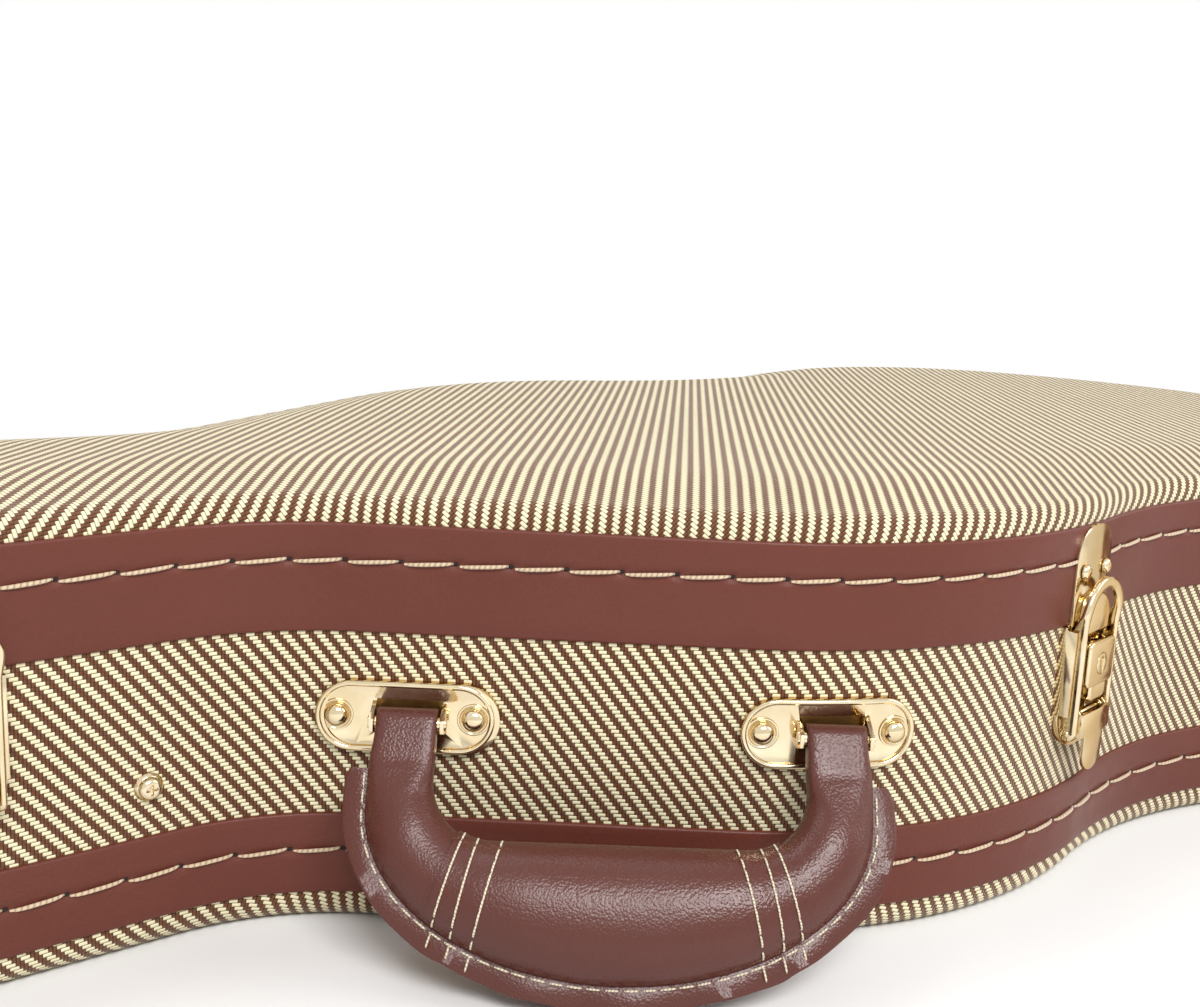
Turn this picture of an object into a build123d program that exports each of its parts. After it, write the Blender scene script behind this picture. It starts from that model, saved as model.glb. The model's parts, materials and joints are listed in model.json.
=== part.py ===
from build123d import *
from math import asin, atan2, cos, degrees, radians, sin, sqrt
import os

os.makedirs("parts", exist_ok=True)

# A hard case for an electric guitar, lying flat with its lid closed. Millimetres.
# +X runs along the centreline from the neck end to the tail, +Y towards the hinges
# and +Z up from the underside. The handle and the latches are on the -Y side.

# Plan of the body: arcs about fixed centres, given for the half with +Y.
neck_end_x = -525.0
neck_end_half_width = 77.0
neck_flare = 2.35               # degrees that the neck sides open towards the neck end
neck_corner_radius = 48.0
junction_radius = 80.0          # hollow curve from the neck side into the shoulder
shoulder_angle = 35.4           # degrees between the straight shoulder and the centreline
upper_bout = Vector(127.5, 9.5)
upper_bout_radius = 162.0
waist_radius = 180.0
lower_bout = Vector(372.0, 58.0)
lower_bout_radius = 136.0
tail_centre = Vector(282.0, 0.0)

# Heights of the bands up the side.
lower_band_low = 10.0
lower_band_height = 26.0
side_height = 57.5
upper_band_height = 33.0
lid_roll_height = 8.0           # from the upper band to the edge of the lid's top
lid_crown = 5.0
lid_crown_run = 44.0
base_roll = 7.0
lid_roll = 7.0
parting = lower_band_low + lower_band_height + side_height
lid_edge = parting + upper_band_height + lid_roll_height
lid_top = lid_edge + lid_crown

# Walls and coverings.
cover = 1.0
glue_gap = 0.1
band = 1.2
base_wall_thickness = 7.0
lid_wall_thickness = 6.5
base_board = 6.9
lid_board = 4.9
lid_split = lid_edge - lid_roll - 0.5          # seam of wall and board, below the roll
wood = cover + glue_gap         # how far the wood lies inside the cloth's face
base_inside = wood + base_wall_thickness
lid_inside = wood + lid_wall_thickness
base_floor = wood + base_board

# Fittings inside the base.
valance = 2.0
valance_low = 80.0
valance_rise = 7.0
lining_gap = 0.1
cradle_x = -60.0
cradle_floor = 24.0
neck_rest_x = -100.0
box_x = -176.0
head_rest_x = -290.0
neck_channel = 66.0
neck_channel_floor = 54.0
head_pad_top = 30.0
guitar_tail_x = 500.0
guitar_lower_radius = 166.0
guitar_upper_x = 182.0
guitar_upper_radius = 120.0
box_height = 48.0
box_wall = 5.0
box_length_inside = 66.0
box_width_inside = 92.0
box_lid = 4.0
box_lid_overlap = 2.0
box_lid_corner = 3.0
box_knuckle = 3.0
box_knuckle_length = 9.0
box_hinge_set = 1.2              # from the box's edge to its knuckles
box_hinge_gap = 0.8
box_pin = 1.5
running = 0.05
lid_pad = 14.0
lid_lining = 2.0
tab_length = 22.0
tab_width = 14.0
tab_thickness = 1.2
tab_corner = 6.3
tab_inset = 1.0

# Latches, measured from the parting line: across, up and outward from the wall.
latch_places = {"head": -455.0, "neck": -170.0, "waist": 158.0, "bout": 395.0}
locking_latch = "waist"
sheet = 1.2
pan_width = 28.0
pan_height = 43.0
pan_corner = 13.0
pan_bead = 1.0
pan_side_rise = 3.8
pan_side_length = 29.0
keeper_width = 24.0
keeper_corner = 10.8
nose_width = 13.0
nose_low = -3.5
nose_high = 9.0
nose_rise = 3.2
nose_corner = 3.0
nose_lap = 3.0                  # how far the hanging tip laps the part on the plate
nose_round = 1.2
pivot_up = -30.0
pivot_out = 5.0
link_drop = 6.0
link_in = 0.6
post_across = 7.2
cheek_across = 8.8
cheek_thickness = 1.2
cheek_radius = 2.6
post_radius = 2.0
side_wall_top = -1.0
latch_pin = 1.3
link_pin = 1.1
bail_gap = 0.6
bail_strip = 1.2
bail_inner = 2.8
bail_outer = 7.4
nose_gap = 0.3
bail_arch_up = 2.5
housing_width = 11.6
housing_low = -25.5
housing_high = -5.0
housing_out = 8.2
housing_corner = 2.5
housing_round = 0.9
tongue_end = -50.0
tongue_width = 13.0
lever_face = 1.4
lever_clear = 2.3
lever_lap = 1.0
plug_radius = 3.6
plug_depth = 5.0
plug_proud = 0.4
plug_end_gap = 0.1
key_slot_depth = 3.5
key_hole_up = 0.8
pan_rivet_across = 8.3
pan_rivet_high = -9.0
pan_rivet_low = -38.0
pan_rivet_radius = 1.9
pan_rivet_head = 1.2
plug_up = -13.0
key_slot = 1.3
key_slot_length = 4.6
rivet_radius = 2.6
rivet_head = 1.7
keeper_rivet_across = 7.5
keeper_rivet_up = 18.0

# Hinges on the far side, on the line that touches both bouts.
hinge_width = 50.0
hinge_leaf = 1.5
hinge_leaf_height = 24.0
hinge_barrel = 3.4
hinge_pin = 1.6
hinge_out = 4.8
hinge_middle = 18.0             # width of the lid's own knuckle
hinge_corner = 3.0
knuckle_gap = 0.4
hinge_rivet_spacing = 32.0

# Handle, its two plates and their pins.
handle_past_bend = 13.4         # from the foot of the shoulder to the left plate
handle_spacing = 104.0
handle_up = 68.0
plate_length = 54.0
plate_height = 22.0
plate_sheet = 1.5
plate_bead = 1.0
plate_bead_width = 1.6
plate_window_width = 19.6
plate_window_height = 11.0
plate_rivet_spacing = 41.0
ear_out = 9.5
ear_half = 6.0
ear_tip = 2.0
ear_thickness = 1.2
handle_pin = 2.0
handle_pin_end = 0.6
handle_pin_out = 6.5
loop_radius = 4.6
strap_width = 18.0
strap_thickness = 5.0
strap_reach = 78.0
strap_shoulder = 11.5
window_corner = 18.0
flange_corner = 6.0
handle_lean = 33.0              # degrees out from hanging straight down, at rest
window_reach = 34.0
flange_half = 80.0
strap_middle = 25.0
grip_reach = 50.0
grip_length = 92.0
grip_half_height = 14.0
grip_half_depth = 13.0
grip_stations = ((-1.0, 0.62), (-0.6, 0.93), (0.0, 1.0), (0.6, 0.93), (1.0, 0.62))

# The one screw in the cloth near the neck.
screw_before_bend = 8.0         # from the foot of the neck
screw_up = 51.0
screw_head = 3.4
screw_head_height = 2.0
screw_slot = 0.8
washer_radius = 4.4
washer_height = 1.3

EACH_SIDE = (-1, 1)


def meet(normal_a, reach_a, normal_b, reach_b):
    """The point that lies reach_a along normal_a and reach_b along normal_b."""
    det = normal_a.X * normal_b.Y - normal_a.Y * normal_b.X
    return Vector(
        (reach_a * normal_b.Y - reach_b * normal_a.Y) / det,
        (normal_a.X * reach_b - normal_b.X * reach_a) / det,
    )


def touching(centre_a, radius_a, centre_b, radius_b, radius):
    """Centre of the circle of this radius that touches two circles from outside, on their left."""
    across = centre_b - centre_a
    reach_a = radius_a + radius
    reach_b = radius_b + radius
    along = (reach_a**2 - reach_b**2 + across.length**2) / (2 * across.length)
    way = across.normalized()
    return centre_a + way * along + Vector(-way.Y, way.X) * sqrt(reach_a**2 - along**2)


neck_normal = Vector(sin(radians(neck_flare)), cos(radians(neck_flare)))
shoulder_normal = Vector(-sin(radians(shoulder_angle)), cos(radians(shoulder_angle)))
end_normal = Vector(-1, 0)
neck_reach = neck_normal.dot(Vector(neck_end_x, neck_end_half_width))
shoulder_reach = shoulder_normal.dot(upper_bout) + upper_bout_radius
corner_centre = meet(
    end_normal, -neck_end_x - neck_corner_radius, neck_normal, neck_reach - neck_corner_radius
)
junction_centre = meet(
    neck_normal, neck_reach + junction_radius, shoulder_normal, shoulder_reach + junction_radius
)
waist_centre = touching(upper_bout, upper_bout_radius, lower_bout, lower_bout_radius, waist_radius)
tail_radius = lower_bout_radius + (lower_bout - tail_centre).length
neck_root_x = (junction_centre - neck_normal * junction_radius).X
shoulder_low_x = (junction_centre - shoulder_normal * junction_radius).X
shoulder_high_x = (upper_bout + shoulder_normal * upper_bout_radius).X


def outline(inset):
    """The plan of the case, drawn this far inside the cloth's outer face."""
    upper = upper_bout_radius - inset
    lower = lower_bout_radius - inset
    corner = neck_corner_radius - inset
    junction = junction_radius + inset
    waist_way_upper = (waist_centre - upper_bout).normalized()
    waist_way_lower = (waist_centre - lower_bout).normalized()
    tail_way = (lower_bout - tail_centre).normalized()
    neck_end = Vector(neck_end_x + inset, 0)
    end_corner = corner_centre + end_normal * corner
    side_corner = corner_centre + neck_normal * corner
    neck_root = junction_centre - neck_normal * junction
    shoulder_low = junction_centre - shoulder_normal * junction
    shoulder_high = upper_bout + shoulder_normal * upper
    waist_start = upper_bout + waist_way_upper * upper
    waist_end = lower_bout + waist_way_lower * lower
    tail_start = lower_bout + tail_way * lower
    tail_end = Vector(tail_centre.X + tail_radius - inset, 0)

    def arc(centre, start, end):
        radius = (start - centre).length
        middle = centre + (start + end - centre * 2).normalized() * radius
        ThreePointArc(start, middle, end)

    with BuildSketch() as plan:
        with BuildLine():
            Line(neck_end, end_corner)
            arc(corner_centre, end_corner, side_corner)
            Line(side_corner, neck_root)
            arc(junction_centre, neck_root, shoulder_low)
            Line(shoulder_low, shoulder_high)
            arc(upper_bout, shoulder_high, waist_start)
            arc(waist_centre, waist_start, waist_end)
            arc(lower_bout, waist_end, tail_start)
            arc(tail_centre, tail_start, tail_end)
            mirror(about=Plane.XZ)
        make_face()
    return plan.sketch


def half_width_at(x):
    """Half width and slope in degrees of the cloth's outer face at this X."""
    if x < neck_root_x:
        return (neck_reach - neck_normal.X * x) / neck_normal.Y, -neck_flare
    if x < shoulder_low_x:
        slope = asin((x - junction_centre.X) / junction_radius)
        return junction_centre.Y - junction_radius * cos(slope), degrees(slope)
    if x < shoulder_high_x:
        return (shoulder_reach - shoulder_normal.X * x) / shoulder_normal.Y, shoulder_angle
    bout, radius = upper_bout, upper_bout_radius
    if x > waist_centre.X:
        bout, radius = lower_bout, lower_bout_radius
    slope = asin((bout.X - x) / radius)
    return bout.Y + radius * cos(slope), degrees(slope)


def front_wall(x, up):
    """A plane on the latch side of the wall: X along the wall, Y up and Z outward."""
    half_width, slope = half_width_at(x)
    along = Vector(cos(radians(slope)), -sin(radians(slope)), 0)
    return Plane(origin=(x, -half_width, up), x_dir=along, z_dir=along.cross(Vector(0, 0, 1)))


def band_ring(low, high, outer_inset, inner_inset):
    """A closed ring that follows the plan, between two insets."""
    with BuildPart() as ring:
        with BuildSketch(Plane.XY.offset(low)):
            add(outline(outer_inset))
            add(outline(inner_inset), mode=Mode.SUBTRACT)
        extrude(amount=high - low)
    return ring.part


def base_block(inset, lift):
    """The base as a solid block, drawn in from the cloth's face, with its rolled lower edge."""
    with BuildPart() as block:
        with BuildSketch(Plane.XY.offset(lift)):
            add(outline(inset))
        extrude(amount=parting - lift)
        fillet(block.faces().sort_by(Axis.Z)[0].edges(), base_roll - lift)
    return block.part


def lid_block(inset, drop, roll):
    """The lid as a solid block with its crowned top and, where roll is set, its rolled edge."""
    with BuildPart() as block:
        with BuildSketch(Plane.XY.offset(parting)):
            add(outline(inset))
        extrude(amount=lid_top - drop - parting)
        top = block.faces().sort_by(Axis.Z)[-1]
        chamfer(top.edges(), length=lid_crown_run - inset, length2=lid_crown, reference=top)
        if roll > 0:
            edge_height = lid_edge - drop
            rim = block.edges().filter_by_position(Axis.Z, edge_height - 0.01, edge_height + 0.01)
            fillet(rim, roll)
    return block.part


def slab(low, high):
    """A slab wider than the case, used to take a level slice of it."""
    reach = 2 * (tail_centre.X + tail_radius)
    with BuildPart() as level:
        with BuildSketch(Plane.XY.offset(low)):
            Rectangle(2 * reach, reach)
        extrude(amount=high - low)
    return level.part


def base_slice(x_low, x_high, low, high):
    """A block that fills the base from wall to wall between two places on the centreline."""
    with BuildPart() as block:
        with BuildSketch(Plane.XY.offset(low)):
            add(outline(base_inside + lining_gap))
            with Locations(((x_low + x_high) / 2, 0)):
                Rectangle(x_high - x_low, 2 * tail_radius, mode=Mode.INTERSECT)
        extrude(amount=high - low)
    return block.part


def finish(part, name):
    part.label = name
    export_step(part, f"parts/{name}.step")


tail_x = tail_centre.X + tail_radius


def butted_wall(ring):
    """A bent wall in four lengths of plywood, butted where the neck's straight sides start and end."""
    lengths = []
    for x_low, x_high in ((neck_end_x, corner_centre.X), (corner_centre.X, neck_root_x), (neck_root_x, tail_x)):
        with BuildPart() as length:
            add(ring)
            with Locations(((x_low + x_high) / 2, 0, 0)):
                Box(x_high - x_low, 2 * tail_radius, 2 * lid_top, mode=Mode.INTERSECT)
        lengths += length.part.solids()
    return Compound(lengths)


# Base: a bottom board, a bent wall on it, the cloth over both and the lower band.
with BuildPart() as base_panel:
    add(base_block(wood, wood))
    add(slab(base_floor, parting + 1), mode=Mode.SUBTRACT)
finish(base_panel.part, "base_panel")

finish(butted_wall(band_ring(base_floor, parting, wood, base_inside)), "base_wall")

base_skin = base_block(0, 0) - base_block(cover, cover)
skin_seam = lower_band_low + 2.0

with BuildPart() as base_bottom_cover:
    add(base_skin)
    add(slab(skin_seam, parting + 1), mode=Mode.SUBTRACT)
finish(base_bottom_cover.part, "base_bottom_cover")

with BuildPart() as base_side_cover:
    add(base_skin)
    add(slab(-1, skin_seam), mode=Mode.SUBTRACT)
finish(base_side_cover.part, "base_side_cover")

with BuildPart() as base_binding:
    add(band_ring(lower_band_low, lower_band_low + lower_band_height, -band, 0))
finish(base_binding.part, "base_binding")

with BuildPart() as rim_valance:
    add(band_ring(valance_low, parting + valance_rise, base_inside, base_inside + valance))
    fillet(rim_valance.faces().sort_by(Axis.Z)[-1].edges(), valance * 0.4)
finish(rim_valance.part, "rim_valance")

# Lid: a bent wall, a crowned board on it, the cloth over both and the upper band.
finish(butted_wall(band_ring(parting, lid_split, wood, lid_inside)), "lid_wall")

lid_hollow = lid_block(lid_inside, wood + lid_board, 0)

with BuildPart() as lid_panel:
    add(lid_block(wood, wood, lid_roll - wood))
    add(slab(parting - 1, lid_split), mode=Mode.SUBTRACT)
    add(lid_hollow, mode=Mode.SUBTRACT)
finish(lid_panel.part, "lid_panel")

with BuildPart() as lid_cover:
    add(lid_block(0, 0, lid_roll))
    add(lid_block(cover, cover, lid_roll - cover), mode=Mode.SUBTRACT)
finish(lid_cover.part, "lid_cover")

with BuildPart() as lid_binding:
    add(band_ring(parting, parting + upper_band_height, -band, 0))
finish(lid_binding.part, "lid_binding")

lid_fill = lid_block(lid_inside + lining_gap, wood + lid_board + lining_gap, 0)
lid_pad_low = lid_edge - wood - lid_board - lid_pad
lid_lining_low = lid_edge - wood - lid_board - lid_lining
tall = 2 * tail_x

with BuildPart() as lid_body_pad:
    add(lid_fill)
    add(slab(parting - 1, lid_pad_low), mode=Mode.SUBTRACT)
    with Locations((neck_rest_x - tall / 2, 0, parting)):
        Box(tall, tall, tall, mode=Mode.SUBTRACT)
finish(lid_body_pad.part, "lid_body_pad")

with BuildPart() as lid_neck_lining:
    add(lid_fill)
    add(slab(parting - 1, lid_lining_low), mode=Mode.SUBTRACT)
    with Locations((neck_rest_x - lining_gap + tall / 2, 0, parting)):
        Box(tall, tall, tall, mode=Mode.SUBTRACT)
finish(lid_neck_lining.part, "lid_neck_lining")

# Padding in the base, with a recess for the guitar's body, neck and head.
with BuildPart() as body_cradle:
    add(base_slice(cradle_x, tail_x, base_floor, valance_low))
    with BuildSketch(Plane.XY.offset(cradle_floor)):
        with Locations((guitar_tail_x - guitar_lower_radius, 0)):
            Circle(guitar_lower_radius)
        with Locations((guitar_upper_x, 0)):
            Circle(guitar_upper_radius)
    extrude(amount=valance_low - cradle_floor, mode=Mode.SUBTRACT)
    with BuildSketch(Plane.XY.offset(neck_channel_floor)):
        with Locations(((cradle_x + guitar_upper_x) / 2, 0)):
            Rectangle(guitar_upper_x - cradle_x, neck_channel)
    extrude(amount=valance_low - neck_channel_floor, mode=Mode.SUBTRACT)
finish(body_cradle.part, "body_cradle")


def neck_block(x_low, x_high):
    """A padded block from wall to wall with a channel for the neck along its top."""
    with BuildPart() as block:
        add(base_slice(x_low, x_high, base_floor, valance_low))
        with BuildSketch(Plane.XY.offset(neck_channel_floor)):
            with Locations(((x_low + x_high) / 2, 0)):
                Rectangle(x_high - x_low, neck_channel)
        extrude(amount=valance_low - neck_channel_floor, mode=Mode.SUBTRACT)
    return block.part


finish(neck_block(neck_rest_x, cradle_x - lining_gap), "neck_rest")
finish(neck_block(head_rest_x, box_x - lining_gap), "head_rest")

with BuildPart() as head_pad:
    add(base_slice(neck_end_x, head_rest_x - lining_gap, base_floor, head_pad_top))
finish(head_pad.part, "head_pad")

# Small compartment under the neck, with a hinged lid, a pin and a pull tab.
box_right = neck_rest_x - lining_gap
box_centre_x = (box_x + box_right) / 2
box_axis_x = box_x + box_knuckle + box_hinge_set
box_axis_up = box_height + box_knuckle
box_lid_knuckle = box_width_inside / 2 - box_knuckle_length - knuckle_gap

with BuildPart() as accessory_box:
    add(base_slice(box_x, box_right, base_floor, box_height))
    with BuildSketch(Plane.XY.offset(base_floor + box_wall)):
        with Locations((box_centre_x, 0)):
            Rectangle(box_length_inside, box_width_inside)
    extrude(amount=box_height, mode=Mode.SUBTRACT)
    for side in EACH_SIDE:
        middle = side * (box_lid_knuckle + knuckle_gap + box_knuckle_length / 2)
        with BuildSketch(Plane.XZ.offset(-middle - box_knuckle_length / 2)):
            with Locations((box_axis_x, box_axis_up)):
                Circle(box_knuckle)
            with Locations((box_axis_x, box_axis_up - box_knuckle)):
                Rectangle(2 * box_knuckle, 2 * box_knuckle)
            with Locations((box_axis_x, box_axis_up)):
                Circle(box_pin, mode=Mode.SUBTRACT)
        extrude(amount=box_knuckle_length)
finish(accessory_box.part, "accessory_box")

lid_start_x = box_axis_x + box_knuckle + box_hinge_gap
lid_end_x = box_right - box_lid_overlap
with BuildPart() as accessory_lid:
    with BuildSketch(Plane.XY.offset(box_height)):
        with Locations(((lid_start_x + lid_end_x) / 2, 0)):
            RectangleRounded(
                lid_end_x - lid_start_x, box_width_inside + 2 * box_lid_overlap, box_lid_corner
            )
    extrude(amount=box_lid)
    with BuildSketch(Plane.XZ.offset(-box_lid_knuckle)):
        with Locations((box_axis_x, box_axis_up)):
            Circle(box_knuckle)
        with Locations(((box_axis_x + lid_start_x + box_lid) / 2, box_height + box_lid / 2)):
            Rectangle(lid_start_x + box_lid - box_axis_x, box_lid)
        with Locations((box_axis_x, box_axis_up)):
            Circle(box_pin + running, mode=Mode.SUBTRACT)
    extrude(amount=2 * box_lid_knuckle)
finish(accessory_lid.part, "accessory_lid")

box_pin_half = box_width_inside / 2
with BuildPart() as accessory_hinge_pin:
    with BuildSketch(Plane.XZ.offset(-box_pin_half)):
        with Locations((box_axis_x, box_axis_up)):
            Circle(box_pin)
    extrude(amount=2 * box_pin_half)
finish(accessory_hinge_pin.part, "accessory_hinge_pin")

with BuildPart() as accessory_tab:
    with BuildSketch(Plane.XY.offset(box_height + box_lid)):
        with Locations((lid_end_x - tab_length / 2 - tab_inset, 0)):
            RectangleRounded(tab_length, tab_width, tab_corner)
    extrude(amount=tab_thickness)
finish(accessory_tab.part, "accessory_tab")


# Latches. Each stands on a plane at the parting line: X across, Y up and Z outward.
def wall_sheet(plane, profile, start, thickness):
    """A sheet that follows the wall from this far out, cut to a profile drawn in the plane."""
    with BuildPart() as sheet_part:
        add(band_ring(0, lid_edge, -start - thickness, -start))
        with BuildSketch(plane.offset(-pan_width)):
            add(profile)
        extrude(amount=2 * pan_width, mode=Mode.INTERSECT)
    return sheet_part.part


def side_plane(plane, across):
    """A plane across the latch at this place: X up and Y outward."""
    return Plane(origin=plane.origin, x_dir=plane.y_dir, z_dir=plane.x_dir).offset(across)


def boss_head(radius, height):
    """A round head standing on the origin's plane."""
    with BuildPart() as head:
        Cylinder(radius, height, align=(Align.CENTER, Align.CENTER, Align.MIN))
        fillet(head.edges().sort_by(Axis.Z)[-1], height * 0.85)
    return head.part


def pan_outline(margin):
    """The pan's U with its straight top on the parting line."""
    width = pan_width - 2 * margin
    height = pan_height - margin
    with BuildSketch() as profile:
        with Locations((0, -height / 2)):
            Rectangle(width, height)
        fillet(profile.vertices().group_by(Axis.Y)[0], pan_corner - margin)
    return profile.sketch


def keeper_outline():
    """The keeper's plate: straight at the parting line and round at the top."""
    with BuildSketch() as profile:
        with Locations((0, upper_band_height / 2)):
            Rectangle(keeper_width, upper_band_height)
        fillet(profile.vertices().group_by(Axis.Y)[-1], keeper_corner)
    return profile.sketch


link_up = pivot_up - link_drop
link_out = pivot_out - link_in
cheek_out = cheek_across + cheek_thickness
bail_across = cheek_out + bail_gap
face_out = pivot_out + lever_clear
keeper_out = band + sheet
arch_out = keeper_out + nose_rise + nose_gap
lever_top = pivot_up + lever_lap
lever_low = link_up - lever_lap
latch_planes = {name: front_wall(x, parting) for name, x in latch_places.items()}
small_rivet = boss_head(pan_rivet_radius, pan_rivet_head)
round_rivet = boss_head(rivet_radius, rivet_head)

for name, plane in latch_planes.items():
    # Pan: a pressed plate with a raised edge, two side walls and two posts for the pivot.
    with BuildPart() as pan:
        add(wall_sheet(plane, pan_outline(0), 0, sheet))
        add(wall_sheet(plane, pan_outline(0) - pan_outline(sheet), sheet, pan_bead))
        for side in EACH_SIDE:
            wall_across = side * (pan_width - sheet) / 2
            with BuildSketch(plane.offset(sheet * 0.5)):
                with Locations((wall_across, side_wall_top - pan_side_length / 2)):
                    Rectangle(sheet, pan_side_length)
            extrude(amount=pan_side_rise + sheet * 0.5)
            post_start = side * (post_across + cheek_thickness / 2) - cheek_thickness / 2
            with BuildSketch(side_plane(plane, post_start)):
                with Locations((pivot_up, pivot_out / 2 + sheet / 4)):
                    Rectangle(2 * post_radius, pivot_out - sheet / 2)
                with Locations((pivot_up, pivot_out)):
                    Circle(post_radius)
                    Circle(latch_pin, mode=Mode.SUBTRACT)
            extrude(amount=cheek_thickness)
    finish(pan.part, f"latch_pan_{name}")

    # Fixed housing in front of the bail's foot, bored for the key plug where it locks.
    with BuildPart() as housing:
        housing_height = housing_high - housing_low
        with BuildSketch(plane.offset(sheet)):
            with Locations((0, (housing_high + housing_low) / 2)):
                RectangleRounded(housing_width, housing_height, housing_corner)
        extrude(amount=housing_out - sheet)
        fillet(housing.faces().sort_by(Axis(plane.origin, plane.z_dir))[-1].edges(), housing_round)
        if name == locking_latch:
            with BuildSketch(plane.offset(housing_out)):
                with Locations((0, plug_up)):
                    Circle(plug_radius + running)
            extrude(amount=-plug_depth, mode=Mode.SUBTRACT)
    finish(housing.part, f"latch_housing_{name}")

    # Keeper on the lid's band, with the nose that the bail pulls on.
    with BuildPart() as keeper:
        add(wall_sheet(plane, keeper_outline(), band, sheet))
        with BuildSketch(plane.offset(band + sheet * 0.5)):
            with Locations((0, nose_high / 2)):
                RectangleRounded(nose_width, nose_high, nose_corner)
        extrude(amount=nose_rise + sheet * 0.5)
        with BuildSketch(plane.offset(keeper_out)):
            with Locations((0, (nose_low + nose_lap) / 2)):
                RectangleRounded(nose_width, nose_lap - nose_low, nose_corner)
        extrude(amount=nose_rise)
        fillet(keeper.faces().sort_by(Axis(plane.origin, plane.z_dir))[-1].edges(), nose_round)
    finish(keeper.part, f"latch_keeper_{name}")

    # Lever: two cheeks on the pivot pin, a face between them and the tongue.
    with BuildPart() as lever:
        for side in EACH_SIDE:
            cheek_start = side * (cheek_across + cheek_thickness / 2) - cheek_thickness / 2
            with BuildSketch(side_plane(plane, cheek_start)):
                with Locations((pivot_up, pivot_out), (link_up, link_out)):
                    Circle(cheek_radius)
                with Locations(((pivot_up + link_up) / 2, (pivot_out + link_out) / 2)):
                    Rectangle(link_drop, 2 * cheek_radius, rotation=degrees(atan2(link_in, link_drop)))
                with Locations(((lever_top + lever_low) / 2, (pivot_out + face_out + lever_face) / 2)):
                    Rectangle(lever_top - lever_low, face_out + lever_face - pivot_out)
                with Locations((pivot_up, pivot_out)):
                    Circle(latch_pin + running, mode=Mode.SUBTRACT)
                with Locations((link_up, link_out)):
                    Circle(link_pin + running, mode=Mode.SUBTRACT)
            extrude(amount=cheek_thickness)
        tongue_centre = tongue_end + tongue_width / 2
        with BuildSketch(plane.offset(face_out)):
            with Locations((0, (lever_top + lever_low) / 2)):
                Rectangle(2 * cheek_out, lever_top - lever_low)
            with Locations((0, (lever_top + tongue_centre) / 2)):
                Rectangle(tongue_width, lever_top - tongue_centre)
            with Locations((0, tongue_centre)):
                Circle(tongue_width / 2)
        extrude(amount=lever_face)
    finish(lever.part, f"latch_lever_{name}")

    # Bail: a strip bent into a loop, with two stubs turned in through the lever's cheeks.
    with BuildPart() as bail:
        for side in EACH_SIDE:
            strip_start = side * (bail_across + bail_strip / 2) - bail_strip / 2
            with BuildSketch(side_plane(plane, strip_start)):
                bail_foot = link_up - link_pin * 2
                with Locations(((bail_foot + bail_arch_up) / 2, (bail_inner + bail_outer) / 2)):
                    Rectangle(bail_arch_up - bail_foot, bail_outer - bail_inner)
            extrude(amount=bail_strip)
            stub_length = bail_gap + cheek_thickness
            stub_start = side * (bail_across - stub_length / 2) - stub_length / 2
            with BuildSketch(side_plane(plane, stub_start)):
                with Locations((link_up, link_out)):
                    Circle(link_pin)
            extrude(amount=stub_length)
        with BuildSketch(plane.offset(arch_out)):
            with Locations((0, bail_arch_up)):
                Circle(bail_across + bail_strip)
                Circle(bail_across, mode=Mode.SUBTRACT)
            with Locations((0, bail_arch_up - bail_across)):
                Rectangle(4 * bail_across, 2 * bail_across, mode=Mode.SUBTRACT)
        extrude(amount=bail_outer - arch_out)
    finish(bail.part, f"latch_bail_{name}")

with BuildPart() as latch_pins:
    for plane in latch_planes.values():
        with BuildSketch(side_plane(plane, -cheek_out)):
            with Locations((pivot_up, pivot_out)):
                Circle(latch_pin)
        extrude(amount=2 * cheek_out)
finish(latch_pins.part, "latch_pins")

with BuildPart() as latch_rivets:
    for plane in latch_planes.values():
        with Locations(plane.offset(sheet)):
            with Locations(
                (pan_rivet_across, pan_rivet_high), (-pan_rivet_across, pan_rivet_high), (0, pan_rivet_low)
            ):
                add(small_rivet)
finish(latch_rivets.part, "latch_rivets")

with BuildPart() as keeper_rivets:
    for plane in latch_planes.values():
        with Locations(plane.offset(keeper_out)):
            with Locations(
                (keeper_rivet_across, keeper_rivet_up), (-keeper_rivet_across, keeper_rivet_up)
            ):
                add(round_rivet)
finish(keeper_rivets.part, "keeper_rivets")

plug_plane = latch_planes[locking_latch]
with BuildPart() as lock_plug:
    with BuildSketch(plug_plane.offset(housing_out - plug_depth + plug_end_gap)):
        with Locations((0, plug_up)):
            Circle(plug_radius)
    extrude(amount=plug_depth - plug_end_gap + plug_proud)
    with BuildSketch(plug_plane.offset(housing_out + plug_proud)):
        with Locations((0, plug_up + key_hole_up)):
            Circle(key_slot)
        with Locations((0, plug_up + key_hole_up - key_slot_length / 2)):
            Rectangle(key_slot, key_slot_length)
    extrude(amount=-key_slot_depth, mode=Mode.SUBTRACT)
finish(lock_plug.part, "lock_plug")

# Hinges, whose one axis runs along the line that touches both bouts on the far side.
bout_gap = lower_bout - upper_bout
bout_turn = asin((upper_bout_radius - lower_bout_radius) / bout_gap.length)
hinge_turn = atan2(bout_gap.Y, bout_gap.X) - bout_turn
hinge_normal = Vector(-sin(hinge_turn), cos(hinge_turn), 0)
hinge_along = Vector(-cos(hinge_turn), -sin(hinge_turn), 0)
knuckle_across = hinge_middle / 2


def hinge_knuckle(side, start, end, up_sign, bore):
    """One barrel on the hinge's axis with the web that joins it to its leaf."""
    leaf_out = 0 if up_sign < 0 else band
    with BuildPart() as knuckle:
        with BuildSketch(side.offset(start)):
            with Locations((0, hinge_out)):
                Circle(hinge_barrel)
            with Locations((up_sign * hinge_barrel * 1.1, (leaf_out + hinge_out) / 2)):
                Rectangle(hinge_barrel * 1.4, hinge_out - leaf_out)
            with Locations((0, hinge_out)):
                Circle(bore, mode=Mode.SUBTRACT)
        extrude(amount=end - start)
    return knuckle.part


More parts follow.
